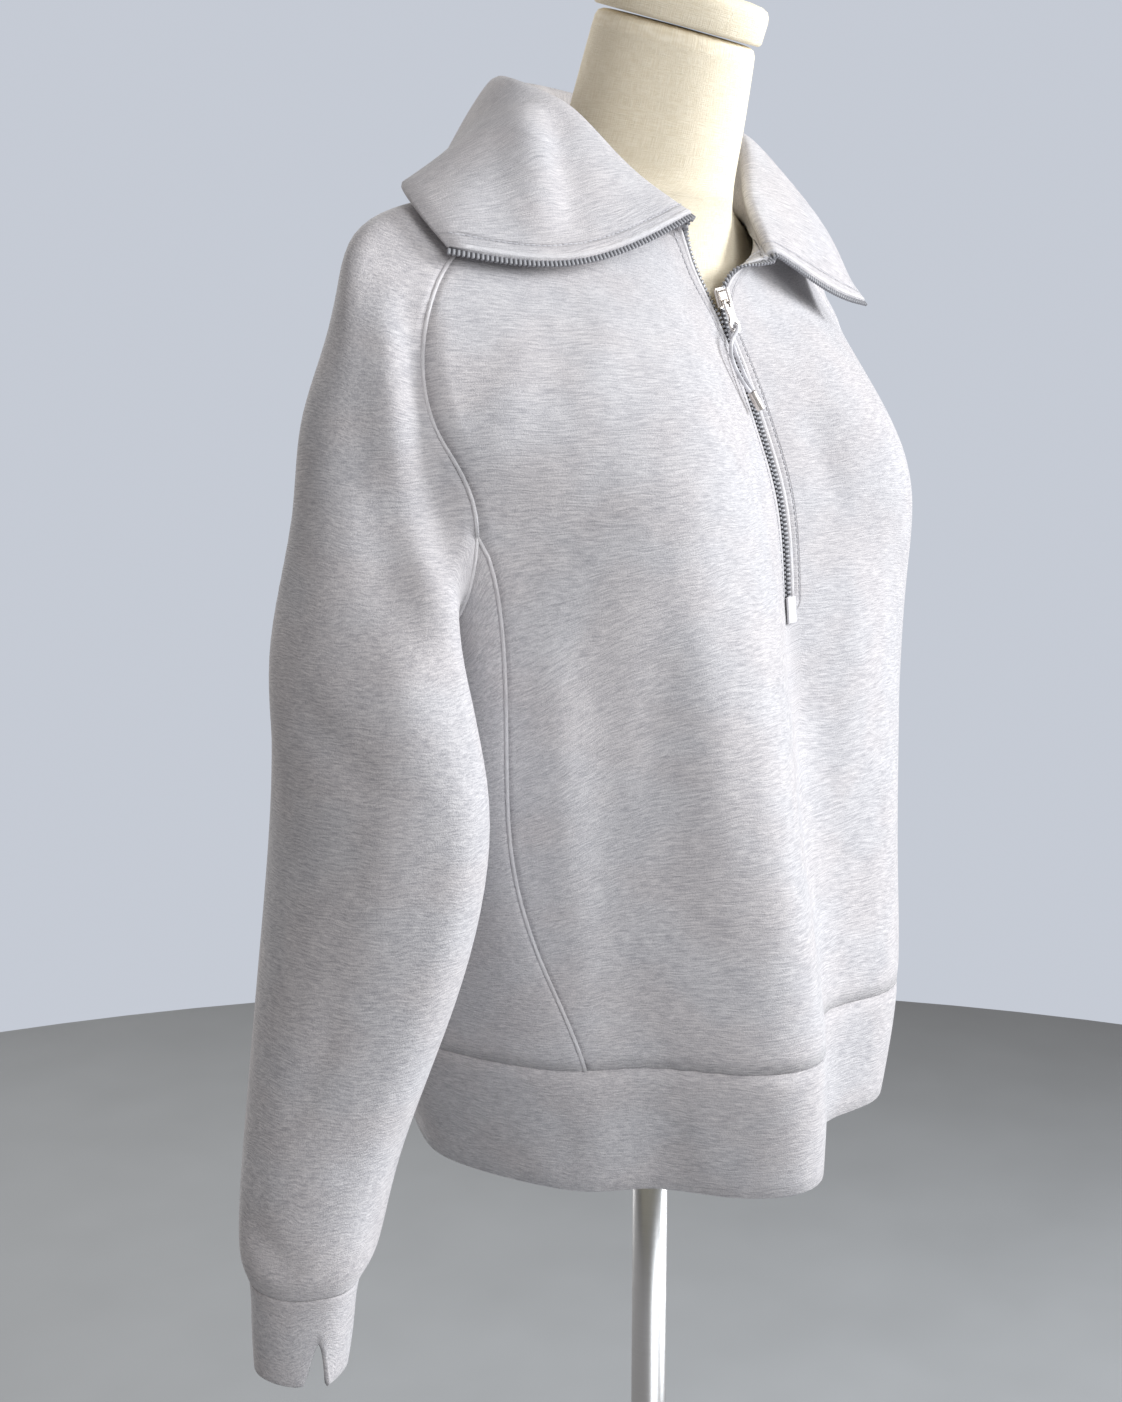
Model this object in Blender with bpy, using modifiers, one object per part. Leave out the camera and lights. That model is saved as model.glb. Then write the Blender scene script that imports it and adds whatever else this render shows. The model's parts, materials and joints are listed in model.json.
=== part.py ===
"""A quarter-zip sweatshirt worn by a limbless dress form on a pole stand.

Metres, +Z up. The origin is on the floor under the middle of the stand's base. The garment's front
faces -Y and the wearer's right side is -X. The cloth is one coarse cage of sections, smoothed by
subdivision and then cut along its seams into panels with a real wall thickness.
"""
import math

import bmesh
import bpy
from mathutils import Matrix, Vector

# ---- driving dimensions ------------------------------------------------------------------------
SEAM_GAP = 0.0003            # clear space between two sewn pieces
CLOTH = 0.002                # wall of the double-knit panels
DOUBLE = 0.003               # wall of the collar, hem band and cuffs, two layers of the same cloth
ZIP_SLOT = 0.008             # distance between the two cloth edges where the zip is closed
HEM_SEAM_Z = 0.943           # seam between the body and the hem band
HEM_Z = 0.873                # bottom of the hem band
ZIP_END_Z = 1.184            # lower end of the zip
SLIDER_Z = 1.351             # where the zip's slider stands

# ---- columns round the garment -------------------------------------------------------------------
HALF = 4                     # faces from the centre front, or back, to a seam
SIDE = 4                     # faces across a side panel
CAP = 6                      # faces across the top of a sleeve
BODY_COLUMNS = 4 * HALF + 2 * SIDE
YOKE_COLUMNS = 4 * HALF + 2 * CAP
PANELS = ("front_panel", "back_panel", "side_panel_right", "side_panel_left", "sleeve_right",
          "sleeve_left", "collar", "hem_band", "cuff_right", "cuff_left")
DOUBLE_PANELS = ("collar", "hem_band", "cuff_right", "cuff_left")

# Body sections under the armholes, from the hem up. half = half width, front and back = depths from
# the middle plane, front_seam and back_seam = where the side panel starts and ends, in degrees from
# the centre front, drop = how much lower the section runs at the side, fold = share of the hem folds,
# hollow = depth of the hollow between the two halves of the chest, tilt = rise towards the right side
BODY_SECTIONS = (
    dict(z=HEM_Z, half=0.169, front=0.119, back=0.108, front_seam=60, back_seam=124, drop=0.000,
         fold=1.00, hollow=0.006, tilt=0.02),
    dict(z=HEM_SEAM_Z, half=0.190, front=0.124, back=0.118, front_seam=60, back_seam=124, drop=0.002,
         fold=1.00, hollow=0.010, tilt=0.05),
    dict(z=1.020, half=0.196, front=0.121, back=0.120, front_seam=69, back_seam=119, drop=0.018,
         fold=0.82, hollow=0.015, tilt=0.03),
    dict(z=1.105, half=0.205, front=0.118, back=0.121, front_seam=73, back_seam=116, drop=0.038,
         fold=0.57, hollow=0.021, tilt=0.00),
    dict(z=ZIP_END_Z, half=0.211, front=0.117, back=0.120, front_seam=72, back_seam=113, drop=0.050,
         fold=0.35, hollow=0.029, tilt=0.00),
)
HOLLOW_WIDTH = 20            # degrees, how wide the hollow between the two halves of the chest is
# Soft folds of the body: where, in degrees from the centre front towards the wearer's right, how
# wide, and how far out they stand at the hem
BODY_FOLDS = (
    dict(at=21, width=12, out=0.055),
    dict(at=-19, width=13, out=0.012),
    dict(at=-62, width=12, out=-0.005),
    dict(at=84, width=16, out=-0.003),
    dict(at=-92, width=16, out=0.005),
    dict(at=150, width=14, out=0.014),
    dict(at=172, width=12, out=-0.008),
    dict(at=-158, width=13, out=0.012),
    dict(at=-130, width=12, out=-0.006),
)

# Yoke sections from the armhole level up to the neckline. front_right and front_left = the two cloth
# edges of the zip opening, the rest the right half: chest = the middle of the half front, raglan =
# front raglan seam, arm = outermost line of the sleeve, back_raglan, blade = the middle of the half
# back, nape = centre back
YOKE_SECTIONS = (
    dict(front_right=(-0.004, -0.084, 1.236), front_left=(0.004, -0.084, 1.236),
         chest=(-0.118, -0.107, 1.238), raglan=(-0.214, -0.036, 1.232), arm=(-0.270, 0.014, 1.236),
         back_raglan=(-0.186, 0.086, 1.236), blade=(-0.100, 0.117, 1.240), nape=(0.0, 0.118, 1.244)),
    dict(front_right=(-0.005, -0.071, 1.277), front_left=(0.003, -0.071, 1.277),
         chest=(-0.108, -0.094, 1.282), raglan=(-0.228, -0.025, 1.279), arm=(-0.260, 0.021, 1.284),
         back_raglan=(-0.182, 0.087, 1.284), blade=(-0.098, 0.118, 1.290), nape=(0.0, 0.118, 1.294)),
    dict(front_right=(-0.008, -0.058, 1.314), front_left=(0.000, -0.058, 1.314),
         chest=(-0.100, -0.068, 1.320), raglan=(-0.224, -0.012, 1.322), arm=(-0.245, 0.025, 1.330),
         back_raglan=(-0.172, 0.084, 1.332), blade=(-0.092, 0.112, 1.340), nape=(0.0, 0.115, 1.344)),
    dict(front_right=(-0.0140, -0.0465, 1.345), front_left=(-0.0040, -0.0475, 1.345),
         chest=(-0.088, -0.044, 1.352), raglan=(-0.192, -0.001, 1.364), arm=(-0.228, 0.028, 1.377),
         back_raglan=(-0.148, 0.074, 1.378), blade=(-0.076, 0.100, 1.386), nape=(0.0, 0.106, 1.388)),
    dict(front_right=(-0.0280, -0.0415, 1.368), front_left=(0.0070, -0.0475, 1.3655),
         chest=(-0.074, -0.034, 1.378), raglan=(-0.138, -0.002, 1.392), arm=(-0.158, 0.030, 1.400),
         back_raglan=(-0.104, 0.068, 1.403), blade=(-0.054, 0.090, 1.410), nape=(0.0, 0.095, 1.413)),
    dict(front_right=(-0.0360, -0.0390, 1.387), front_left=(0.0280, -0.0520, 1.3725),
         chest=(-0.060, -0.026, 1.397), raglan=(-0.080, 0.000, 1.408), arm=(-0.085, 0.032, 1.417),
         back_raglan=(-0.066, 0.064, 1.426), blade=(-0.035, 0.076, 1.431), nape=(0.0, 0.080, 1.434)),
)
# The bottom of an armhole, from its front end to its back end
ARMHOLE_FLOOR = ((-0.212, -0.020, 1.190), (-0.211, 0.014, 1.170), (-0.200, 0.054, 1.190))

# Sleeve sections, down from the armhole: middle (x, y, z), half width and half depth
SLEEVE_SECTIONS = (
    dict(x=-0.253, y=0.002, z=1.172, half_width=0.039, half_depth=0.048),
    dict(x=-0.260, y=-0.010, z=1.108, half_width=0.041, half_depth=0.061),
    dict(x=-0.271, y=-0.005, z=1.020, half_width=0.043, half_depth=0.056),
    dict(x=-0.293, y=0.001, z=0.938, half_width=0.039, half_depth=0.040),
    dict(x=-0.308, y=-0.002, z=0.892, half_width=0.034, half_depth=0.034),
    dict(x=-0.312, y=-0.002, z=0.876, half_width=0.026, half_depth=0.028),
    dict(x=-0.314, y=-0.002, z=0.854, half_width=0.024, half_depth=0.026),
    dict(x=-0.316, y=-0.002, z=0.832, half_width=0.022, half_depth=0.024),
)
# The left sleeve hangs further back and closer in: shift of its middle at the cuff, from none at the top
LEFT_HANG = (-0.040, 0.012)
LEFT_BACK = 0.030            # how far back the left sleeve lies from its top
LEFT_SLIM = 0.88             # depth of the left sleeve against the right one
CUFF_SEAM = 5                # the sleeve section where the cuff is sewn on
VENT_COLUMN = 1              # the column of the cuff that carries its open vent
VENT_HALF = 0.006            # half width of the vent at the cuff's edge

# Collar stations round the neckline, by yoke column: crest = where the collar rolls over,
# edge = its free upper edge, belly = how far the fall's middle bows away from the straight line
COLLAR_STATIONS = (
    dict(column=0, crest=(-0.055, -0.050, 1.392), edge=(-0.195, -0.003, 1.371),
         belly=(-0.005, -0.009, -0.014)),
    dict(column=2, crest=(-0.070, -0.024, 1.416), edge=(-0.200, 0.010, 1.387), belly=(0.000, -0.008, 0.004)),
    dict(column=4, crest=(-0.089, 0.000, 1.447), edge=(-0.186, 0.032, 1.402), belly=(-0.003, -0.003, 0.004)),
    dict(column=7, crest=(-0.100, 0.030, 1.463), edge=(-0.140, 0.056, 1.406), belly=(0.000, 0.000, 0.003)),
    dict(column=10, crest=(-0.064, 0.066, 1.470), edge=(-0.083, 0.090, 1.416), belly=(0.000, 0.003, 0.003)),
    dict(column=14, crest=(0.000, 0.086, 1.476), edge=(0.000, 0.124, 1.418), belly=(0.000, 0.010, 0.004)),
    dict(column=18, crest=(0.064, 0.068, 1.470), edge=(0.090, 0.098, 1.414), belly=(0.006, 0.008, 0.004)),
    dict(column=21, crest=(0.100, 0.028, 1.460), edge=(0.142, 0.060, 1.413), belly=(0.008, 0.004, 0.006)),
    dict(column=24, crest=(0.088, -0.006, 1.446), edge=(0.168, 0.014, 1.397), belly=(0.008, -0.004, 0.008)),
    dict(column=26, crest=(0.056, -0.030, 1.412), edge=(0.163, -0.029, 1.373), belly=(0.012, -0.008, 0.006)),
    dict(column=28, crest=(0.041, -0.055, 1.377), edge=(0.146, -0.056, 1.3535),
         belly=(0.002, -0.002, -0.004)),
)
COLLAR_ROWS = (("stand", 0.55), ("crest", 1.0), ("fall", 0.48), ("edge", 1.0))
STAND_BELLY = 0.001          # how far the collar's stand bows outwards between seam and crest
FIT_PASSES = 4               # times the cage is pushed out to bring its smooth surface to the sections


# Zip: flat chains of tape and teeth along both cloth edges
TAPE_WALL = 0.0016
TAPE_SINK = 0.0002           # how far the chain's face lies under the cloth's face
PATCH = (0.011, 0.015, 0.0012)   # width, height and thickness of the cloth patch under the zip
PATCH_DROP = 0.006           # how far under the zip's end the patch's middle lies
PATCH_RISE = 0.0010          # room under the patch for the bend of the cloth

# Slider, pull tab and cord, in the slider's own frame: x across, y down the zip, z out of the cloth
SLIDER_BODY = (0.0105, 0.0115, 0.0024)
SLIDER_LIFT = 0.0014         # clear space between the slider's body and the zip under it
BAIL_WIDTH = 0.0016          # the arch on the slider that holds the pull tab
BAIL_LENGTH = 0.0085
BAIL_BAR = 0.0012
BAIL_ROOM = 0.0030           # clear height under the arch
TAB_LENGTH = 0.0200
TAB_WIDTHS = (0.0080, 0.0062, 0.0110)   # across the eye, the waist and the lower ring
TAB_THICKNESS = 0.0012
EYE = (0.0032, 0.0042)       # the tab's slot round the arch, width and height
EYE_BAR = 0.0012             # the bar of the tab that lies under the arch
RING_HOLE = (0.0074, 0.0046)    # the hole that carries the cord
CORD = 0.0022                # thickness of the pull cord
TIP = (0.0024, 0.0110)       # radius and length of the metal tip
TIP_TOP = (0.0161, 0.0530, 0.0056)      # where the tip starts, in the tab's frame
TIP_LEAN = 22                # degrees that the tip leans back towards the zip
# The cord's route in the tab's frame, from the tip up through the ring and back
CORD_ROUTE = (
    (0.0174, 0.0529, 0.0056), (0.0186, 0.0508, 0.0053), (0.0202, 0.0462, 0.0046), (0.0213, 0.0409, 0.0040),
    (0.0215, 0.0355, 0.0035), (0.0205, 0.0302, 0.0032), (0.0177, 0.0256, 0.0032), (0.0132, 0.0220, 0.0033),
    (0.0078, 0.0192, 0.0035), (0.0026, 0.0169, 0.0027), (0.0000, 0.0152, 0.0000), (0.0003, 0.0163, -0.0023),
    (0.0022, 0.0188, -0.0029), (0.0050, 0.0226, -0.0020), (0.0080, 0.0272, -0.0004), (0.0105, 0.0325, 0.0010),
    (0.0124, 0.0385, 0.0024), (0.0136, 0.0440, 0.0036), (0.0147, 0.0485, 0.0048), (0.0149, 0.0520, 0.0056),
)
TAB_REST = 3                 # degrees that the hanging tab stands off the cloth

# Dress form, up from its underside: half width, depths in front of and behind its middle line, and
# radius and middle of the neck where it runs down into the shoulders
FORM_SECTIONS = (
    dict(z=0.885, half=0.146, front=0.082, back=0.086, middle=0.000, lean=0),
    dict(z=0.893, half=0.152, front=0.088, back=0.092, middle=0.000, lean=0),
    dict(z=0.950, half=0.150, front=0.088, back=0.094, middle=0.000, lean=0),
    dict(z=1.040, half=0.142, front=0.082, back=0.088, middle=0.002, lean=0),
    dict(z=1.120, half=0.150, front=0.082, back=0.094, middle=0.004, lean=0),
    dict(z=1.190, half=0.164, front=0.084, back=0.098, middle=0.006, lean=0),
    dict(z=1.245, half=0.174, front=0.080, back=0.096, middle=0.008, lean=0),
    dict(z=1.298, half=0.186, front=0.068, back=0.090, middle=0.014, lean=0),
    dict(z=1.336, half=0.190, front=0.060, back=0.080, middle=0.020, lean=0),
    dict(z=1.361, half=0.182, front=0.054, back=0.066, middle=0.024, lean=0, neck=(0.0530, 0.0150)),
    dict(z=1.379, half=0.160, front=0.050, back=0.060, middle=0.026, lean=0, neck=(0.0530, 0.0135)),
    dict(z=1.395, half=0.124, front=0.049, back=0.054, middle=0.025, lean=0, neck=(0.0528, 0.0125)),
    dict(z=1.405, half=0.088, front=0.048, back=0.051, middle=0.022, lean=2, neck=(0.0524, 0.0120)),
    dict(z=1.412, half=0.060, front=0.050, back=0.051, middle=0.016, lean=5, neck=(0.0522, 0.0115)),
    dict(z=1.424, half=0.0522, front=0.0515, back=0.0515, middle=0.010, lean=9),
    dict(z=1.453, half=0.0505, front=0.0505, back=0.0505, middle=0.002, lean=13),
    dict(z=1.5025, half=0.0465, front=0.0465, back=0.0465, middle=-0.011, lean=18),
)
FORM_SIDES = 32
NECK_BLEND = 18              # how sharply the neck meets the shoulders: higher is sharper
CAP_RADIUS = 0.0490
CAP_PROFILE = ((0.98, 0.000), (1.00, 0.003), (1.00, 0.0145), (0.965, 0.0185), (0.80, 0.0210), (0.0, 0.0220))
POLE_RADIUS = 0.011
BASE_PROFILE = ((0.0, 0.034), (0.020, 0.034), (0.023, 0.031), (0.024, 0.016), (0.150, 0.011), (0.176, 0.008),
                (0.180, 0.004), (0.179, 0.0), (0.0, 0.0))

# Colours: base colour, roughness, metallic
HEATHER = ((0.60, 0.60, 0.635), 0.92, 0.0)
TEETH = ((0.42, 0.42, 0.45), 0.45, 0.0)
SILVER = ((0.80, 0.77, 0.72), 0.28, 1.0)
LINEN = ((0.78, 0.70, 0.56), 0.88, 0.0)
STEEL = ((0.62, 0.63, 0.64), 0.32, 1.0)


def through(keys, column):
    """The point at a column, on a smooth curve through keys of (column, point)."""
    for i in range(len(keys) - 1):
        if keys[i][0] <= column <= keys[i + 1][0]:
            break
    c0, c1 = keys[i][0], keys[i + 1][0]
    before = keys[max(i - 1, 0)]
    after = keys[min(i + 2, len(keys) - 1)]
    t = (column - c0) / (c1 - c0)
    start, end = Vector(keys[i][1]), Vector(keys[i + 1][1])
    leave = (end - Vector(before[1])) * ((c1 - c0) / (c1 - before[0]))
    arrive = (Vector(after[1]) - start) * ((c1 - c0) / (after[0] - c0))
    t2, t3 = t * t, t * t * t
    return tuple(start * (2 * t3 - 3 * t2 + 1) + leave * (t3 - 2 * t2 + t)
                 + end * (3 * t2 - 2 * t3) + arrive * (t3 - t2))


def mirrored(point):
    """The same point on the wearer's other side."""
    return (-point[0], point[1], point[2])


class Cage:
    """Named corner points and the faces between them, each face with its panel."""

    def __init__(self):
        self.points = []
        self.index = {}
        self.faces = []
        self.panels = []
        self.sharp = []

    def put(self, key, point):
        self.index[key] = len(self.points)
        self.points.append(tuple(point))

    def same(self, key, other):
        self.index[key] = self.index[other]

    def face(self, panel, *keys):
        self.faces.append([self.index[key] for key in keys])
        self.panels.append(PANELS.index(panel))

    def band(self, panel, lower, upper):
        """Faces between two rows of keys that run from the front towards the wearer's right."""
        for k in range(len(lower) - 1):
            self.face(panel, lower[k], upper[k], upper[k + 1], lower[k + 1])


def body_angle(section, column):
    """Degrees from the centre front for a body column, 0 to 24, measured towards the right."""
    turn = column if column <= BODY_COLUMNS / 2 else column - BODY_COLUMNS
    k = abs(turn)
    if k <= HALF:
        angle = section["front_seam"] * k / HALF
    elif k <= HALF + SIDE:
        angle = section["front_seam"] + (section["back_seam"] - section["front_seam"]) * (k - HALF) / SIDE
    else:
        angle = section["back_seam"] + (180 - section["back_seam"]) * (k - HALF - SIDE) / HALF
    return math.copysign(angle, turn)


def body_point(section, column):
    angle = body_angle(section, column)
    turn = math.radians(angle)
    across, along = math.sin(turn), math.cos(turn)
    depth = section["front"] if along > 0 else section["back"]
    x = -section["half"] * math.copysign(abs(across) ** 0.86, across)
    y = -depth * math.copysign(abs(along) ** 0.86, along)
    out = -section["hollow"] * math.exp(-(angle / HOLLOW_WIDTH) ** 2)
    for fold in BODY_FOLDS:
        away = (angle - fold["at"] + 180) % 360 - 180
        out += fold["out"] * section["fold"] * math.exp(-(away / fold["width"]) ** 2)
    z = section["z"] - section["drop"] * across ** 4 - section["tilt"] * x
    return (x - out * across, y - out * along, z)


def yoke_keys(row):
    """The key points of a yoke section by column, all the way round from right to left front."""
    section = YOKE_SECTIONS[row]
    columns = ((2, "chest"), (4, "raglan"), (7, "arm"), (10, "back_raglan"), (12, "blade"))
    right = tuple((column, section[name]) for column, name in columns)
    left = tuple((YOKE_COLUMNS - column, mirrored(point)) for column, point in reversed(right))
    first, last = (0, section["front_right"]), (YOKE_COLUMNS, section["front_left"])
    return (first,) + right + ((14, section["nape"]),) + left + (last,)


def yoke_point(row, column):
    return through(yoke_keys(row), column)


def sleeve_point(section, column):
    """Columns 0 to 6 run over the outside from front to back, 7 to 9 back along the inside."""
    if column <= CAP:
        turn = math.radians(180.0 * column / CAP)
    else:
        turn = math.radians(180 + 45.0 * (column - CAP))
    return (section["x"] - section["half_width"] * math.sin(turn),
            section["y"] - section["half_depth"] * math.cos(turn), section["z"])


def hung_left(point):
    """A point of the right sleeve, mirrored and hung further back and closer in."""
    top, bottom = SLEEVE_SECTIONS[0]["z"], SLEEVE_SECTIONS[-1]["z"]
    share = (top - point[2]) / (top - bottom)
    x, y, z = mirrored(point)
    return (x + LEFT_HANG[0] * share, y * LEFT_SLIM + LEFT_BACK + LEFT_HANG[1] * share, z)


def build_body(cage):
    """Front, back and side panels up to the armholes, and the hem band."""
    top = len(BODY_SECTIONS)
    for ring, section in enumerate(BODY_SECTIONS):
        for column in range(BODY_COLUMNS):
            cage.put(("body", ring, column), body_point(section, column))
        if ring < top - 1:
            cage.same(("body", ring, BODY_COLUMNS), ("body", ring, 0))
            continue
        x, y, z = cage.points[cage.index[("body", ring, 0)]]
        cage.points[cage.index[("body", ring, 0)]] = (x - ZIP_SLOT / 2, y, z)
        cage.put(("body", ring, BODY_COLUMNS), (x + ZIP_SLOT / 2, y, z))
        cage.sharp += [("body", ring, 0), ("body", ring, BODY_COLUMNS)]
    for column in range(YOKE_COLUMNS + 1):
        cage.put(("yoke", 0, column), yoke_point(0, column))
    for column in range(HALF + 1):
        cage.same(("body", top, column), ("yoke", 0, column))
        cage.same(("body", top, BODY_COLUMNS - column), ("yoke", 0, YOKE_COLUMNS - column))
    for column in range(2 * HALF + 1):
        cage.same(("body", top, HALF + SIDE + column), ("yoke", 0, HALF + CAP + column))
    for step, point in enumerate(ARMHOLE_FLOOR, start=1):
        cage.put(("body", top, HALF + step), point)
        cage.put(("body", top, BODY_COLUMNS - HALF - step), mirrored(point))
    spans = (("front_panel", 0, HALF), ("side_panel_right", HALF, HALF + SIDE),
             ("back_panel", HALF + SIDE, 3 * HALF + SIDE),
             ("side_panel_left", 3 * HALF + SIDE, BODY_COLUMNS - HALF),
             ("front_panel", BODY_COLUMNS - HALF, BODY_COLUMNS))
    for ring in range(top):
        for panel, start, end in spans:
            lower = [("body", ring, column) for column in range(start, end + 1)]
            upper = [("body", ring + 1, column) for column in range(start, end + 1)]
            cage.band("hem_band" if ring == 0 else panel, lower, upper)
    cage.face("front_panel", ("body", top - 2, 0), ("body", top - 1, BODY_COLUMNS), ("body", top - 1, 0))


def build_yoke(cage):
    """The front, back and both sleeves from the armhole level up to the neckline."""
    spans = (("front_panel", 0, HALF), ("sleeve_right", HALF, HALF + CAP),
             ("back_panel", HALF + CAP, 3 * HALF + CAP),
             ("sleeve_left", 3 * HALF + CAP, YOKE_COLUMNS - HALF),
             ("front_panel", YOKE_COLUMNS - HALF, YOKE_COLUMNS))
    for row in range(1, len(YOKE_SECTIONS)):
        for column in range(YOKE_COLUMNS + 1):
            cage.put(("yoke", row, column), yoke_point(row, column))
        for panel, start, end in spans:
            lower = [("yoke", row - 1, column) for column in range(start, end + 1)]
            upper = [("yoke", row, column) for column in range(start, end + 1)]
            cage.band(panel, lower, upper)


def build_sleeve(cage, side):
    """One sleeve from its armhole ring down, with its cuff; side is right or left."""
    top = len(BODY_SECTIONS)
    right = side == "right"
    for step in range(CAP + 1):
        column = HALF + step if right else YOKE_COLUMNS - HALF - step
        cage.same((side, 0, step), ("yoke", 0, column))
    for step in range(1, SIDE):
        column = HALF + SIDE - step if right else BODY_COLUMNS - HALF - SIDE + step
        cage.same((side, 0, CAP + step), ("body", top, column))
    for ring, section in enumerate(SLEEVE_SECTIONS, start=1):
        for step in range(CAP + SIDE):
            point = sleeve_point(section, step)
            if not right:
                point = hung_left(point)
            cage.put((side, ring, step), point)
    last = len(SLEEVE_SECTIONS)
    vent = Vector(cage.points[cage.index[(side, last, VENT_COLUMN)]])
    ahead = Vector(cage.points[cage.index[(side, last, VENT_COLUMN + 1)]])
    along = (ahead - vent).normalized() * VENT_HALF
    cage.points[cage.index[(side, last, VENT_COLUMN)]] = tuple(vent + along)
    cage.put((side, last, "vent"), vent - along)
    for ring in range(1, last + 1):
        panel = ("sleeve_" if ring <= CUFF_SEAM + 1 else "cuff_") + side
        steps = list(range(CAP + SIDE)) + [0]
        lower = [(side, ring, step) for step in steps]
        upper = [(side, ring - 1, step) for step in steps]
        for k in range(len(steps) - 1):
            before = (side, ring, "vent") if ring == last and steps[k + 1] == VENT_COLUMN else lower[k + 1]
            corners = [lower[k], upper[k], upper[k + 1], before]
            cage.face(panel, *(corners if right else reversed(corners)))


def collar_row_points(kind, share):
    """One row of the collar, all the way round, from its named line."""
    top = len(YOKE_SECTIONS) - 1
    lines = {name: [(station["column"], station[name]) for station in COLLAR_STATIONS]
             for name in ("crest", "edge", "belly")}
    for column in range(YOKE_COLUMNS + 1):
        seam = Vector(yoke_point(top, column))
        crest = Vector(through(lines["crest"], column))
        edge = Vector(through(lines["edge"], column))
        outwards = (edge - seam)
        outwards.z = 0.0
        outwards.normalize()
        if kind == "stand":
            yield seam.lerp(crest, share) + outwards * STAND_BELLY
        elif kind == "crest":
            yield crest
        elif kind == "fall":
            belly = Vector(through(lines["belly"], column))
            yield crest.lerp(edge, share) + belly * (4 * share * (1 - share))
        else:
            yield edge


def build_collar(cage):
    """The turned-out collar: a stand up to its crest and a fall down to its free edge."""
    for column in range(YOKE_COLUMNS + 1):
        cage.same(("collar", 0, column), ("yoke", len(YOKE_SECTIONS) - 1, column))
    for row, (kind, share) in enumerate(COLLAR_ROWS, start=1):
        for column, point in enumerate(collar_row_points(kind, share)):
            cage.put(("collar", row, column), point)
        lower = [("collar", row - 1, column) for column in range(YOKE_COLUMNS + 1)]
        upper = [("collar", row, column) for column in range(YOKE_COLUMNS + 1)]
        cage.band("collar", lower, upper)


def cage_object():
    """The cage, and the whole of it as one mesh; each face's material slot is its panel."""
    cage = Cage()
    build_body(cage)
    build_yoke(cage)
    for side in ("right", "left"):
        build_sleeve(cage, side)
    build_collar(cage)
    mesh = bpy.data.meshes.new("garment_cage")
    mesh.from_pydata(cage.points, [], cage.faces)
    for name in PANELS:
        mesh.materials.append(bpy.data.materials.new(name))
    for polygon, panel in zip(mesh.polygons, cage.panels):
        polygon.material_index = panel
    creases = mesh.attributes.new("crease_vert", "FLOAT", "POINT")
    for key in cage.sharp:
        creases.data[cage.index[key]].value = 1.0
    mesh.update()
    return cage, bpy.data.objects.new("garment_cage", mesh)


def evaluated(thing):
    """A new mesh with the object's modifiers applied."""
    graph = bpy.context.evaluated_depsgraph_get()
    graph.update()
    return bpy.data.meshes.new_from_object(thing.evaluated_get(graph), depsgraph=graph)


def fit(cage):
    """Push the cage's corners until the smooth surface passes through the sections' own points."""
    wanted = [corner.co.copy() for corner in cage.data.vertices]
    for _ in range(FIT_PASSES):
        smooth = evaluated(cage)
        for corner, goal, got in zip(cage.data.vertices, wanted, smooth.vertices):
            corner.co += goal - got.co
        cage.data.update()
        bpy.data.meshes.remove(smooth)


def material(name, finish):
    made = bpy.data.materials.new(name)
    made.use_nodes = True
    shader = made.node_tree.nodes["Principled BSDF"]
    colour, roughness, metallic = finish
    shader.inputs["Base Color"].default_value = (*colour, 1.0)
    shader.inputs["Roughness"].default_value = roughness
    shader.inputs["Metallic"].default_value = metallic
    return made


def add(name, data, finish, smooth_angle=40):
    """An object of the part, with a material of its own."""
    thing = bpy.data.objects.new(name, data)
    data.materials.clear()
    data.materials.append(material(name, finish))
    bpy.data.collections["sweatshirt_on_form"].objects.link(thing)
    if thing.type == "MESH":
        data.shade_smooth()
        data.set_sharp_from_angle(angle=math.radians(smooth_angle))
    return thing


def mesh_from(name, work):
    data = bpy.data.meshes.new(name)
    work.to_mesh(data)
    work.free()
    return data


def seam_shift(corner, panel_faces, sewn):
    """How far a seam corner moves into its own panel, for half of the seam's clear space."""
    normal = corner.normal
    inwards = Vector()
    for face in panel_faces:
        inwards += (face.calc_center_median() - corner.co).normalized()
    inwards -= normal * inwards.dot(normal)
    inwards.normalize()
    turns = [(edge.other_vert(corner).co - corner.co).normalized().cross(inwards).length for edge in sewn]
    return inwards * (SEAM_GAP * 0.75 / max(min(turns), 0.3))


def panel_mesh(whole, index, wall):
    """One panel cut from the smooth garment: its outer face, its inner face and the rim between."""
    faces = [face for face in whole.faces if face.material_index == index]
    rim = [loop for face in faces for loop in face.loops
           if all(other.material_index != index for other in loop.edge.link_faces if other is not face)]
    moved = {}
    for corner in {loop.vert for face in faces for loop in face.loops}:
        sewn = [edge for edge in corner.link_edges
                if {other.material_index == index for other in edge.link_faces} == {True, False}]
        mine = [face for face in corner.link_faces if face.material_index == index]
        moved[corner] = corner.co + seam_shift(corner, mine, sewn) if sewn else corner.co.copy()
    work = bmesh.new()
    outer = {corner: work.verts.new(place) for corner, place in moved.items()}
    inner = {corner: work.verts.new(place - corner.normal * wall) for corner, place in moved.items()}
    for face in faces:
        work.faces.new([outer[corner] for corner in face.verts])
        work.faces.new([inner[corner] for corner in reversed(face.verts)])
    for loop in rim:
        a, b = loop.vert, loop.link_loop_next.vert
        work.faces.new([outer[b], outer[a], inner[a], inner[b]])
    bmesh.ops.triangulate(work, faces=work.faces)
    return mesh_from(PANELS[index], work)


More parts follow.
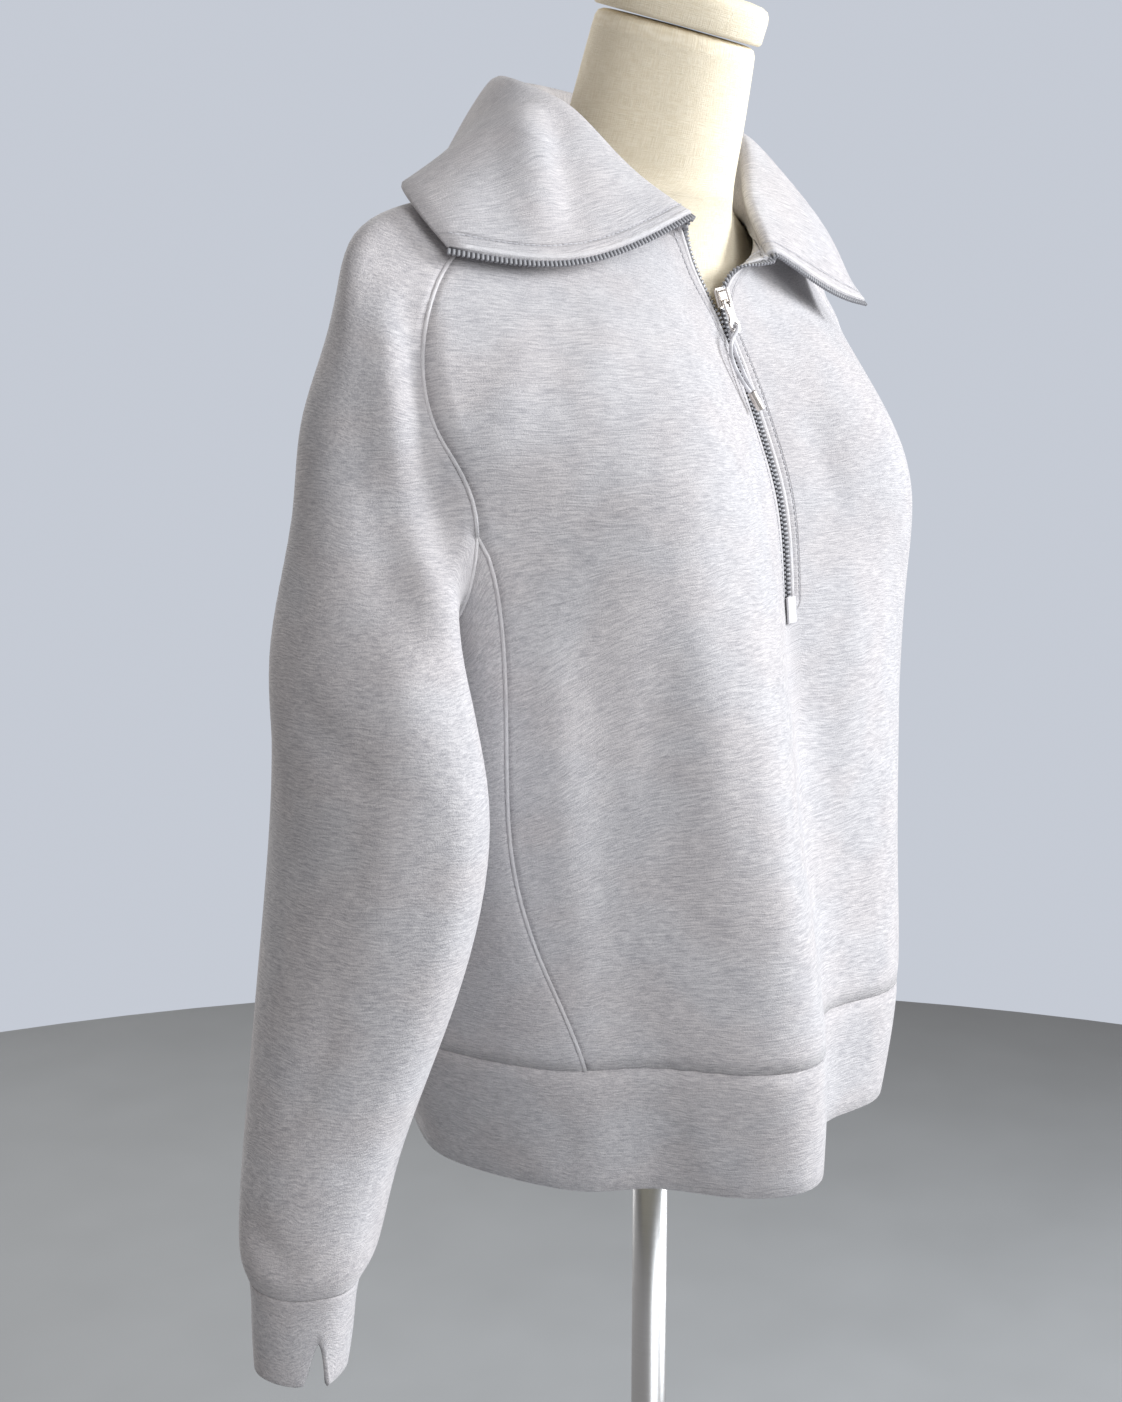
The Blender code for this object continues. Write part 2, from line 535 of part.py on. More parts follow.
def opening_edge(whole, cage, side):
    """Corners along one cloth edge of the zip, from its end up to the collar's corner."""
    column, front = (0, 1) if side == "right" else (YOKE_COLUMNS, BODY_COLUMNS)
    start = ("body", len(BODY_SECTIONS) - 1, 0 if side == "right" else BODY_COLUMNS)
    keys = [start] + [("yoke", row, column) for row in range(len(YOKE_SECTIONS))]
    keys += [("collar", row, column) for row in range(1, len(COLLAR_ROWS) + 1)]
    chain = []
    for key, following in zip(keys, keys[1:]):
        here = whole.verts[cage.index[key]]
        there = whole.verts[cage.index[following]]
        between = next(edge.other_vert(here) for edge in here.link_edges
                       if edge.is_boundary and any(e.other_vert(edge.other_vert(here)) is there
                                                   for e in edge.other_vert(here).link_edges))
        chain += [here, between]
    return chain + [there]


def edge_frames(chain):
    """Place, outward direction in the cloth's plane and normal for each corner of a cloth edge."""
    frames = []
    for corner in chain:
        cloth = Vector()
        for face in corner.link_faces:
            cloth += (face.calc_center_median() - corner.co).normalized()
        ahead = chain[min(chain.index(corner) + 1, len(chain) - 1)].co
        behind = chain[max(chain.index(corner) - 1, 0)].co
        along = (ahead - behind).normalized()
        normal = corner.normal
        outwards = along.cross(normal).normalized()
        if outwards.dot(cloth) > 0:
            outwards.negate()
        frames.append((corner.co.copy(), outwards, normal.copy(), along))
    return frames


def tape_mesh(name, frames, other):
    """The chain of tape and teeth: a flat bar that follows a cloth edge at a small distance."""
    work = bmesh.new()
    rings = []
    for number, (place, outwards, normal, along) in enumerate(frames):
        apart = (other[number][0] - place).length
        width = min(ZIP_SLOT / 2, apart / 2) - 2.6 * SEAM_GAP
        if number == 0:
            place = place + along * SEAM_GAP
        near = place + outwards * SEAM_GAP * 2.4
        far = near + outwards * width
        top, bottom = -normal * TAPE_SINK, -normal * (TAPE_SINK + TAPE_WALL)
        corners = (near + top, far + top, far + bottom, near + bottom)
        rings.append([work.verts.new(point) for point in corners])
    for ring, following in zip(rings, rings[1:]):
        for k in range(4):
            work.faces.new([ring[k], ring[(k + 1) % 4], following[(k + 1) % 4], following[k]])
    work.faces.new(reversed(rings[0]))
    work.faces.new(rings[-1])
    bmesh.ops.recalc_face_normals(work, faces=work.faces)
    bmesh.ops.triangulate(work, faces=work.faces)
    return mesh_from(name, work)


def local_frame(place, down, out):
    """The matrix of a frame with y down the zip, z out of the cloth and x across."""
    out = out.normalized()
    down = (down - out * down.dot(out)).normalized()
    across = down.cross(out)
    rows = Matrix((across, down, out)).transposed().to_4x4()
    rows.translation = place
    return rows


def block(size, place=(0, 0, 0), bevel=0.0):
    """A box from a primitive cube, its edges rounded when bevel is given."""
    work = bmesh.new()
    bmesh.ops.create_cube(work, size=1.0)
    bmesh.ops.scale(work, vec=size, verts=work.verts)
    bmesh.ops.translate(work, vec=place, verts=work.verts)
    if bevel:
        bmesh.ops.bevel(work, geom=work.edges[:], offset=bevel, segments=2, affect="EDGES")
    return work


def united(name, parts):
    """One closed body from overlapping parts, each a bmesh."""
    things = []
    for number, part in enumerate(parts):
        thing = bpy.data.objects.new(f"{name}_{number}", mesh_from(f"{name}_{number}", part))
        bpy.context.scene.collection.objects.link(thing)
        things.append(thing)
    first = things[0]
    for other in things[1:]:
        join = first.modifiers.new("join", "BOOLEAN")
        join.operation = "UNION"
        join.object = other
    result = evaluated(first)
    result.name = name
    for thing in things:
        bpy.data.objects.remove(thing)
    return result


def slider_mesh():
    """The slider's body with the arch that carries the pull tab."""
    width, length, height = SLIDER_BODY
    middle = height / 2
    body = block(SLIDER_BODY, (0, 0, middle), bevel=0.0009)
    parts = [body]
    leg_height = BAIL_ROOM + BAIL_BAR
    for sign in (-1, 1):
        offset = sign * (BAIL_LENGTH - BAIL_BAR) / 2
        parts.append(block((BAIL_WIDTH, BAIL_BAR, leg_height + 0.001),
                           (0, offset, height + leg_height / 2 - 0.0005)))
    parts.append(block((BAIL_WIDTH, BAIL_LENGTH, BAIL_BAR), (0, 0, height + BAIL_ROOM + BAIL_BAR / 2)))
    return united("zip_slider", parts)


def tab_mesh():
    """The flat pull tab: an eye round the arch, a waist and a ring for the cord."""
    eye, waist, ring = (w / 2 for w in TAB_WIDTHS)
    top = -EYE_BAR / 2
    low = top + TAB_LENGTH
    outline = [(-eye * 0.75, top), (eye * 0.75, top), (eye, top + 0.0012), (eye, top + 0.0055)]
    outline += [(waist, top + 0.0085), (waist, top + 0.0110), (ring, low - 0.0062)]
    for step in range(1, 8):
        turn = math.pi * step / 8
        outline.append((ring * math.cos(turn), low - 0.0052 + 0.0052 * math.sin(turn)))
    outline += [(-ring, low - 0.0062), (-waist, top + 0.0110), (-waist, top + 0.0085)]
    outline += [(-eye, top + 0.0055), (-eye, top + 0.0012)]
    half_eye = EYE[0] / 2
    slot_low = top + EYE_BAR + EYE[1]
    slot = [(-half_eye, top + EYE_BAR), (half_eye, top + EYE_BAR),
            (half_eye, slot_low), (-half_eye, slot_low)]
    hole = []
    for step in range(16):
        turn = 2 * math.pi * step / 16
        hole.append((RING_HOLE[0] / 2 * math.cos(turn), low - 0.0042 + RING_HOLE[1] / 2 * math.sin(turn)))
    curve = bpy.data.curves.new("tab_outline", "CURVE")
    curve.dimensions = "2D"
    curve.fill_mode = "BOTH"
    curve.extrude = TAB_THICKNESS / 2
    for points in (outline, slot, hole):
        spline = curve.splines.new("POLY")
        spline.points.add(len(points) - 1)
        spline.use_cyclic_u = True
        for point, (x, y) in zip(spline.points, points):
            point.co = (x, y, 0.0, 1.0)
    thing = bpy.data.objects.new("tab_outline", curve)
    bpy.context.scene.collection.objects.link(thing)
    data = evaluated(thing)
    bpy.data.objects.remove(thing)
    work = bmesh.new()
    work.from_mesh(data)
    bmesh.ops.remove_doubles(work, verts=work.verts, dist=0.00001)
    return mesh_from("zip_pull_tab", work)


def smooth_route(points, steps):
    """Points along a smooth curve through the route's own points."""
    keys = list(enumerate(points))
    count = (len(points) - 1) * steps
    return [through(keys, number / steps) for number in range(count + 1)]


def cord_curve(name, points, radius):
    curve = bpy.data.curves.new(name, "CURVE")
    curve.dimensions = "3D"
    curve.bevel_depth = radius
    curve.bevel_resolution = 2
    curve.use_fill_caps = True
    spline = curve.splines.new("POLY")
    spline.points.add(len(points) - 1)
    for point, place in zip(spline.points, points):
        point.co = (*place, 1.0)
    return curve


def form_ring(section):
    lean = math.radians(section["lean"])
    ring = []
    for side in range(FORM_SIDES):
        turn = 2 * math.pi * side / FORM_SIDES
        depth = section["front"] if math.cos(turn) > 0 else section["back"]
        ahead = depth * math.cos(turn)
        x, y = -section["half"] * math.sin(turn), section["middle"] - ahead * math.cos(lean)
        if "neck" in section:
            radius, middle = section["neck"]
            grow = (1 + (radius / math.hypot(x, y - middle)) ** NECK_BLEND) ** (1 / NECK_BLEND)
            x, y = x * grow, middle + (y - middle) * grow
        ring.append((x, y, section["z"] - ahead * math.sin(lean)))
    return ring


def form_mesh():
    """The dress form: rings from its flat underside up to the top of its leaning neck."""
    work = bmesh.new()
    rings = [[work.verts.new(point) for point in form_ring(section)] for section in FORM_SECTIONS]
    for ring, following in zip(rings, rings[1:]):
        for k in range(FORM_SIDES):
            after = (k + 1) % FORM_SIDES
            work.faces.new([ring[k], following[k], following[after], ring[after]])
    work.faces.new(rings[0])
    work.faces.new(reversed(rings[-1]))
    bmesh.ops.recalc_face_normals(work, faces=work.faces)
    bmesh.ops.triangulate(work, faces=work.faces)
    return mesh_from("form_body", work)


def turned(name, profile, finish, sides=48):
    """A turned solid from a profile of (radius, height), with a Screw modifier."""
    work = bmesh.new()
    corners = [work.verts.new((radius, 0.0, height)) for radius, height in profile]
    for a, b in zip(corners, corners[1:]):
        work.edges.new((a, b))
    thing = add(name, mesh_from(name, work), finish)
    screw = thing.modifiers.new("turn", "SCREW")
    screw.steps = screw.render_steps = sides
    screw.use_merge_vertices = True
    screw.merge_threshold = 0.00001
    return thing


def build_cloth(corners, smooth_mesh):
    """Every cut piece of cloth, the patch and both chains of the zip. Returns the zip's frames."""
    whole = bmesh.new()
    whole.from_mesh(smooth_mesh)
    whole.verts.ensure_lookup_table()
    whole.normal_update()
    for index, name in enumerate(PANELS):
        wall = DOUBLE if name in DOUBLE_PANELS else CLOTH
        add(name, panel_mesh(whole, index, wall), HEATHER)
    frames = {}
    for side in ("right", "left"):
        frames[side] = edge_frames(opening_edge(whole, corners, side))
    for side, other in (("right", "left"), ("left", "right")):
        add("zip_tape_" + side, tape_mesh("zip_tape_" + side, frames[side], frames[other]), TEETH)
    whole.free()
    return frames


def zip_line(frames):
    """Middle points of the closed zip, from its end up, each with its outward normal."""
    pairs = zip(frames["right"], frames["left"])
    return [((right[0] + left[0]) / 2, (right[2] + left[2]).normalized()) for right, left in pairs]


def at_height(line, height):
    """The zip's middle point and normal at a height."""
    for (low, low_normal), (high, high_normal) in zip(line, line[1:]):
        if low.z <= height <= high.z:
            t = (height - low.z) / (high.z - low.z)
            return low.lerp(high, t), low_normal.lerp(high_normal, t).normalized(), (low - high).normalized()
    raise ValueError("height is outside the zip")


def build_patch(line):
    """The cloth patch that covers the zip's end, lying just off the front panel."""
    end, normal = line[0]
    down = (end - line[1][0]).normalized()
    rise = SEAM_GAP + PATCH[2] / 2 + PATCH_RISE
    frame = local_frame(end + down * PATCH_DROP + normal * rise, down, normal)
    thing = add("zip_end_patch", mesh_from("zip_end_patch", block(PATCH, bevel=0.0003)), HEATHER)
    thing.matrix_world = frame


def build_puller(line):
    """Slider, pull tab, cord and tip; the tab's origin lies on its hinge."""
    place, normal, down = at_height(line, SLIDER_Z)
    seat = local_frame(place + normal * SLIDER_LIFT, down, normal)
    slider = add("zip_slider", slider_mesh(), SILVER)
    slider.matrix_world = seat
    hinge = Matrix.Translation((0, (BAIL_LENGTH / 2 - BAIL_BAR - EYE_BAR / 2 - 0.0006),
                                SLIDER_BODY[2] + BAIL_ROOM / 2))
    carrier = bpy.data.objects.new("pull_hinge", None)
    bpy.context.scene.collection.objects.link(carrier)
    carrier.matrix_world = seat @ hinge @ Matrix.Rotation(math.radians(TAB_REST), 4, "X")
    tab = add("zip_pull_tab", tab_mesh(), SILVER)
    route = smooth_route(CORD_ROUTE, 3)
    cord = add("pull_cord", cord_curve("pull_cord", route, CORD / 2), HEATHER)
    tip = add("cord_tip", mesh_from("cord_tip", tip_body()), SILVER)
    for thing in (tab, cord, tip):
        thing.parent = carrier


def tip_body():
    """The round metal tip that both ends of the cord run into."""
    radius, length = TIP
    work = bmesh.new()
    bmesh.ops.create_cone(work, cap_ends=True, segments=20, radius1=radius, radius2=radius * 0.94,
                          depth=length)
    turn = Matrix.Rotation(math.radians(TIP_LEAN), 4, "Z") @ Matrix.Rotation(math.radians(-90), 4, "X")
    along = turn.to_3x3() @ Vector((0, 0, 1))
    middle = Vector(TIP_TOP) + along * (SEAM_GAP + length / 2)
    bmesh.ops.transform(work, matrix=Matrix.Translation(middle) @ turn, verts=work.verts)
    return work


def build_stand():
    """The form with its neck cap, the pole and the round base."""
    add("form_body", form_mesh(), LINEN)
    top = FORM_SECTIONS[-1]
    outline = [(r * CAP_RADIUS, h) for r, h in reversed(CAP_PROFILE)] + [(0.0, 0.0)]
    cap = turned("form_neck_cap", outline, LINEN)
    cap.location = (0, top["middle"], top["z"] + SEAM_GAP)
    cap.rotation_euler = (math.radians(top["lean"]), 0, 0)
    base_top = BASE_PROFILE[0][1]
    foot = base_top + SEAM_GAP
    head = FORM_SECTIONS[0]["z"] - SEAM_GAP
    turned("stand_base", BASE_PROFILE, STEEL)
    outline = ((0.0, head), (POLE_RADIUS, head), (POLE_RADIUS, foot), (0.0, foot))
    turned("stand_pole", outline, STEEL, sides=24)


def main():
    for thing in list(bpy.data.objects):
        bpy.data.objects.remove(thing)
    collection = bpy.data.collections.new("sweatshirt_on_form")
    bpy.context.scene.collection.children.link(collection)
    corners, cage = cage_object()
    bpy.context.scene.collection.objects.link(cage)
    smooth = cage.modifiers.new("smooth", "SUBSURF")
    smooth.levels = smooth.render_levels = 1
    smooth.boundary_smooth = "PRESERVE_CORNERS"
    fit(cage)
    frames = build_cloth(corners, evaluated(cage))
    bpy.data.objects.remove(cage)
    line = zip_line(frames)
    build_patch(line)
    build_puller(line)
    build_stand()


main()
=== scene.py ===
# %% [markdown]
# # A knitted quarter-zip sweater on a dress form
#
# This lesson gives a simple packed model its looks. The cloth is one coarse cage of points. It is
# smoothed, creased, and cut along its seams into panels with a real wall. Zip teeth and
# stitches are made by Geometry Nodes, and the knit is a procedural material.
#
# First the frame: the packed model is loaded.

# %% Load the frame
import json
import math

import bmesh
import bpy
import numpy as np
from mathutils import Matrix, Vector
from mathutils.bvhtree import BVHTree


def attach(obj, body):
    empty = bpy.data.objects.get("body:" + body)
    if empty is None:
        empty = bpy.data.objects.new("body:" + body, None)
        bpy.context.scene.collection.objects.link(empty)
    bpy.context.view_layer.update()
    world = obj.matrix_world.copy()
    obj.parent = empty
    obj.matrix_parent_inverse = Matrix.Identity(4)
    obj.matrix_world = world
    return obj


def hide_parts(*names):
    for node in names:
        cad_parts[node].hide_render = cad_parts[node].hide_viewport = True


with open("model.json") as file:
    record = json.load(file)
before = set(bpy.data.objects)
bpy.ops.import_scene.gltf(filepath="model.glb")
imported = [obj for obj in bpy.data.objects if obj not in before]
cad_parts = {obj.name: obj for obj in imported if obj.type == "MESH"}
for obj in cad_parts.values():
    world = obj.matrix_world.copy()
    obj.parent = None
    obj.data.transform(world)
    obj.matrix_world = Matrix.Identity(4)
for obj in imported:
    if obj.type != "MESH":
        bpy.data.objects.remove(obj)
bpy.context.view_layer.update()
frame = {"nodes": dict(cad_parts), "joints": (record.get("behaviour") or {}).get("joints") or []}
BODY = "sweater"             # the body that carries everything but the puller
PULLER = "pull_tab"          # the body that swings on the slider


def linked(name, data):
    """A new object in the scene."""
    thing = bpy.data.objects.new(name, data)
    bpy.context.scene.collection.objects.link(thing)
    return thing


print("nodes:", ", ".join(sorted(frame["nodes"])))

# %% [markdown]
# ## Camera
#
# The camera stands in front of the wearer's right side, at the height of the collar, and looks a
# little down. Its lens is chosen by the height of the picture, so the picture's shape doesn't
# change how large things look.

# %% Camera
CAMERA_AZIMUTH = -57         # degrees from the front, towards the wearer's right
CAMERA_DISTANCE = 1.10
CAMERA_HEIGHT = 1.31
CAMERA_PITCH = 10            # degrees below level
CAMERA_YAW = 2.93            # degrees that it looks past the form's axis
FOCAL_SHARE = 1857 / 1402    # focal length as a share of the picture's height
SENSOR = 24.0

around = math.radians(CAMERA_AZIMUTH)
eye = Vector((math.sin(around) * CAMERA_DISTANCE, -math.cos(around) * CAMERA_DISTANCE, CAMERA_HEIGHT))
heading = Vector((-math.sin(around), math.cos(around), 0.0))
heading.rotate(Matrix.Rotation(math.radians(CAMERA_YAW), 3, "Z"))
pitch = math.radians(CAMERA_PITCH)
ahead = heading * math.cos(pitch) + Vector((0, 0, -math.sin(pitch)))
camera_data = bpy.data.cameras.new("camera")
camera_data.sensor_fit = "VERTICAL"
camera_data.sensor_height = SENSOR
camera_data.lens = SENSOR * FOCAL_SHARE
camera = linked("camera", camera_data)
camera.location = eye
camera.rotation_mode = "QUATERNION"
camera.rotation_quaternion = ahead.to_track_quat("-Z", "Y")
bpy.context.scene.camera = camera
print("camera at", [round(v, 3) for v in eye])

# %% [markdown]
# ## Shader maths in plain Python
#
# `Graph` wraps one material. Its `node` method makes any node, and its `maths` method makes a Math
# node. `Value` wraps a node's output, so that `a * 2 + b` builds the nodes for that sum.

# %% Shader helpers
class Value:
    """One output of a shader graph, with plain arithmetic."""

    def __init__(self, graph, socket):
        self.graph, self.socket = graph, socket

    def __add__(self, other):
        return self.graph.maths("ADD", self, other)

    def __sub__(self, other):
        return self.graph.maths("SUBTRACT", self, other)

    def __mul__(self, other):
        return self.graph.maths("MULTIPLY", self, other)


class Graph:
    """A material's node tree and its Principled shader."""

    def __init__(self, name, **constants):
        self.material = bpy.data.materials.new(name)
        self.material.use_nodes = True
        self.tree = self.material.node_tree
        self.shader = self.tree.nodes["Principled BSDF"]
        for socket, value in constants.items():
            self.shader.inputs[socket.replace("_", " ")].default_value = value

    def set(self, socket, value):
        """Link a Value, or store a plain number or colour, on an input."""
        if isinstance(value, Value):
            self.tree.links.new(value.socket, socket)
        else:
            socket.default_value = value

    def node(self, kind, settings=None, inputs=None, output=0):
        made = self.tree.nodes.new("ShaderNode" + kind)
        for name, value in (settings or {}).items():
            setattr(made, name, value)
        for name, value in (inputs or {}).items():
            self.set(made.inputs[name], value)
        return Value(self, made.outputs[output])

    def maths(self, operation, *values):
        return self.node("Math", {"operation": operation}, dict(enumerate(values)))

    def vector(self, operation, first, second):
        return self.node("VectorMath", {"operation": operation}, {0: first, 1: second})

    def uv(self):
        return self.node("UVMap", {"uv_map": "UVMap"})

    def noise(self, vector, scale, detail=2.0, roughness=0.5):
        """A noise of about 0.2 to 0.8 round its middle, 0.5, in places scaled along each axis."""
        return self.node("TexNoise", {}, {"Vector": self.vector("MULTIPLY", vector, scale), "Scale": 1.0,
                                          "Detail": detail, "Roughness": roughness})

    def solid_noise(self, scale, **settings):
        """The same, by the piece's own place in space."""
        return self.noise(self.node("TexCoord", output=3), scale, **settings)

    def step(self, value, low, high):
        """0 below low, 1 above high, and smooth in between."""
        return self.node("MapRange", {"interpolation_type": "SMOOTHSTEP"},
                         {"Value": value, "From Min": low, "From Max": high})

    def mix(self, share, first, second, blend="MIX"):
        """A colour between two colours, or their product."""
        return self.node("Mix", {"data_type": "RGBA", "blend_type": blend},
                         {0: share, 6: first, 7: second}, output=2)

    def bump(self, height, distance, **inputs):
        return self.node("Bump", {}, {"Height": height, "Distance": distance, "Strength": 1.0, **inputs})

    def finish(self, colour, normal, roughness=None):
        for name, value in (("Base Color", colour), ("Normal", normal), ("Roughness", roughness)):
            if value is not None:
                self.set(self.shader.inputs[name], value)
        return self.material


print("shader helpers:", [name for name in vars(Graph) if not name.startswith("_")])

# %% [markdown]
# ## The knit
#
# The cloth is a double knit of mottled yarn. Short, thin streaks run along its courses, and a fine
# nap stands on it. The texture lies in each piece's own UV map, which holds metres: the first
# number runs along the courses and the second across them. A second attribute, `near_edge`, holds
# the distance from the zip's cloth edge, where the cloth is folded under and stitched.

# %% Knit material
LIGHT_YARN = (0.665, 0.655, 0.670, 1.0)
DARK_YARN = (0.345, 0.343, 0.370, 1.0)
STREAK = (190.0, 1300.0, 1.0)     # streaks in a metre, along the courses and across them
LONG_STREAK = (90.0, 700.0, 1.0)
MOTTLE = 55.0                    # soft patches in a metre
WARM_DRIFT = (1.03, 0.985, 0.96, 1.0)    # tint of the warmer patches, a few centimetres wide
COURSES = 620.0                  # rows of loops in a metre
DRIFT = (22.0, 22.0, 30.0)       # warmer patches in a metre
SPECK = 1500.0                   # specks in a metre
SWAY = 0.006                     # how far a streak wanders off its course
NAP_DEPTH = 0.00035
STITCH_IN = 0.0068               # how far the top stitching lies in from the zip's cloth edge
GROOVE_WIDTH, GROOVE_DEPTH = 0.0016, 0.0007    # the groove that the stitches lie in


def knit(name, light=LIGHT_YARN, dark=DARK_YARN):
    graph = Graph(name, Roughness=0.95, Sheen_Weight=0.30, Sheen_Roughness=0.45, Specular_IOR_Level=0.25)
    uv = graph.uv()
    sway = graph.noise(uv, (40.0, 40.0, 1.0), detail=1.0)
    shifted = graph.vector("ADD", uv, graph.node("CombineXYZ", {}, {"Y": (sway - 0.5) * SWAY}))
    fine = graph.noise(shifted, STREAK, detail=3.0, roughness=0.65)
    long = graph.noise(shifted, LONG_STREAK)
    mottle = graph.solid_noise((MOTTLE, MOTTLE, MOTTLE))
    speck = graph.solid_noise((SPECK, SPECK, SPECK), detail=1.0)
    # The four noises are mixed into one shade of yarn, from dark to light.
    shade = fine * 1.05 + long * 0.55 + mottle * 0.20 + speck * 0.45 - 0.625
    colour = graph.mix(graph.step(shade, 0.10, 0.90), dark, light)
    drift = graph.step(graph.solid_noise(DRIFT, detail=1.0), 0.35, 0.65)
    colour = graph.mix(drift * 0.5, colour, graph.mix(1.0, colour, WARM_DRIFT, "MULTIPLY"))
    across = graph.node("SeparateXYZ", {}, {0: shifted}, output=1)
    loops = graph.maths("SINE", across * (COURSES * 2 * math.pi))
    edge = graph.node("Attribute", {"attribute_name": "near_edge"}, output=2)
    groove = graph.step(graph.maths("ABSOLUTE", edge - STITCH_IN), 0.0, GROOVE_WIDTH)
    normal = graph.bump(groove, GROOVE_DEPTH)
    normal = graph.bump(fine * 0.8 + speck * 0.6 + loops * 0.08, NAP_DEPTH, Normal=normal)
    return graph.finish(colour, normal)


KNIT = knit("sweater_knit")
# A lighter copy of the knit, with less contrast, for the raised seam ribbons, the zip's lips and the end
# patch: a painted highlight on the raised cloth.
LIT_KNIT = knit("lit_knit", light=(0.700, 0.695, 0.715, 1.0), dark=(0.500, 0.498, 0.520, 1.0))
print("knit materials:", KNIT.name, LIT_KNIT.name)

# %% [markdown]
# ## The other materials
#
# Linen for the form, moulded plastic for the teeth, woven tape, satin silver, a braided cord and
# brushed steel. All of them vary only by their own place in space or their own UV map.

# %% Other materials
BRAID_WAVES, BRAID_SLANT = 420.0, 12.566     # of the cord's waves, along it and round it


def linen():
    graph = Graph("linen", Roughness=0.9, Sheen_Weight=0.15, Specular_IOR_Level=0.2)
    uv = graph.uv()
    weave = graph.noise(uv, (2300.0, 110.0, 1.0)) + graph.noise(uv, (110.0, 2300.0, 1.0))
    colour = graph.mix(graph.step(weave, 0.75, 1.25), (0.84, 0.745, 0.56, 1), (0.95, 0.87, 0.70, 1))
    return graph.finish(colour, graph.bump(weave, 0.0003))


def grained(name, colour, roughness, grain, depth, metallic=0.0, detail=2.0, dark=0.88, rough=0.15):
    """One colour with a grain in its surface; dark and rough say how much the grain changes them."""
    graph = Graph(name, Roughness=roughness, Metallic=metallic)
    grains = graph.solid_noise(grain, detail=detail)
    tone = graph.mix(grains, tuple(dark * c for c in colour) + (1.0,), colour + (1.0,))
    return graph.finish(tone, graph.bump(grains, depth), (grains - 0.5) * rough + roughness)


def plain(name, colour, roughness, metallic=0.0, grain=900.0, depth=0.00005):
    """A material with an even grain."""
    return grained(name, colour, roughness, (grain, grain, grain), depth, metallic)


def braid():
    """Cord whose strands cross: two sets of slanted waves, with painted shade in the dips between the
    strands.
    """
    graph = Graph("cord_braid", Roughness=0.85, Sheen_Weight=0.2)
    uv = graph.uv()
    along, round_it = (graph.node("SeparateXYZ", {}, {0: uv}, axis) for axis in (0, 1))
    one = graph.maths("SINE", along * BRAID_WAVES + round_it * BRAID_SLANT)
    two = graph.maths("SINE", along * BRAID_WAVES - round_it * BRAID_SLANT)
    height = graph.maths("MAXIMUM", one, two)
    # The crowns of the strands are painted lighter and the dips between them darker: painted highlight on the
    # crowns, painted shade in the dips.
    colour = graph.mix(graph.step(height, -0.6, 0.9), (0.52, 0.52, 0.55, 1), (0.68, 0.68, 0.72, 1))
    return graph.finish(colour, graph.bump(height, 0.0003))


LINEN = linen()
TEETH = plain("zip_teeth", (0.31, 0.315, 0.34), 0.42, grain=1500.0)
# The tape is dark grey, and its dark tone also paints the shade in the gaps between the teeth.
TAPE = plain("zip_tape", (0.13, 0.13, 0.14), 0.85, grain=2200.0, depth=0.0002)
SILVER = plain("silver_metal", (0.68, 0.64, 0.60), 0.34, metallic=1.0, grain=700.0, depth=0.000004)
THREAD = plain("thread", (0.62, 0.62, 0.66), 0.75, grain=3000.0, depth=0.0001)
BRAID = braid()
STEEL = grained("brushed_steel", (0.62, 0.63, 0.64), 0.34, (30.0, 30.0, 2500.0), 0.00003, metallic=1.0,
                detail=3.0, dark=0.85, rough=0.2)
print("materials:", len(bpy.data.materials))

# %% [markdown]
# ## The cloth's cage
#
# The garment is one cage of named corners. Sections of the body, the yoke, each sleeve and the
# collar say where its surface passes. A smooth surface doesn't pass through its cage, so `fit`
# pushes the corners out until it does. All sizes are in metres.

# %% Sections of the garment
SEAM_GAP = 0.0003            # clear space between two sewn pieces
CLOTH = 0.002                # wall of the double-knit panels
DOUBLE = 0.003               # wall of the collar, hem band and cuffs, two layers of the same cloth
ZIP_SLOT = 0.008             # distance between the two cloth edges where the zip is closed
HEM_SEAM_Z = 0.943           # seam between the body and the hem band
HEM_Z = 0.873                # bottom of the hem band
ZIP_END_Z = 1.184            # lower end of the zip

HALF = 4                     # faces from the centre front, or back, to a seam
SIDE = 4                     # faces across a side panel
CAP = 6                      # faces across the top of a sleeve
BODY_COLUMNS = 4 * HALF + 2 * SIDE
YOKE_COLUMNS = 4 * HALF + 2 * CAP
PANELS = ("front_panel", "back_panel", "side_panel_right", "side_panel_left", "sleeve_right",
          "sleeve_left", "collar", "hem_band", "cuff_right", "cuff_left")
DOUBLE_PANELS = ("collar", "hem_band", "cuff_right", "cuff_left")


def table(names, *rows):
    """Rows of values as dicts, under the names of their columns."""
    return [dict(zip(names.split(), row)) for row in rows]


# Body sections under the armholes, from the hem up. half = half width, front and back = depths from
# the middle plane, front_seam and back_seam = where the side panel starts and ends, in degrees from
# the centre front, drop = how much lower the section runs at the side, fold = share of the hem folds,
# hollow = depth of the hollow between the two halves of the chest, tilt = rise towards the right side
BODY_SECTIONS = table(
    "z half front back front_seam back_seam drop fold hollow tilt",
    (HEM_Z, 0.169, 0.119, 0.108, 60, 124, 0.000, 1.00, 0.006, 0.02),
    (HEM_SEAM_Z, 0.190, 0.124, 0.118, 60, 124, 0.002, 1.00, 0.010, 0.05),
    (1.020, 0.196, 0.121, 0.120, 69, 119, 0.018, 0.82, 0.015, 0.03),
    (1.105, 0.205, 0.118, 0.121, 73, 116, 0.038, 0.57, 0.021, 0.00),
    (ZIP_END_Z, 0.211, 0.117, 0.120, 72, 113, 0.050, 0.35, 0.029, 0.00),
)
BODY_SQUARE = 0.86           # under 1, a body section is squarer than an ellipse
HOLLOW_WIDTH = 20            # degrees, how wide the hollow between the two halves of the chest is
# Soft folds of the body: where, in degrees from the centre front towards the wearer's right, how
# wide, and how far out they stand at the hem
BODY_FOLDS = table(
    "at width out",
    (21, 12, 0.055),
    (-19, 13, 0.012),
    (-62, 12, -0.005),
    (84, 16, -0.003),
    (-92, 16, 0.005),
    (150, 14, 0.014),
    (172, 12, -0.008),
    (-158, 13, 0.012),
    (-130, 12, -0.006),
)

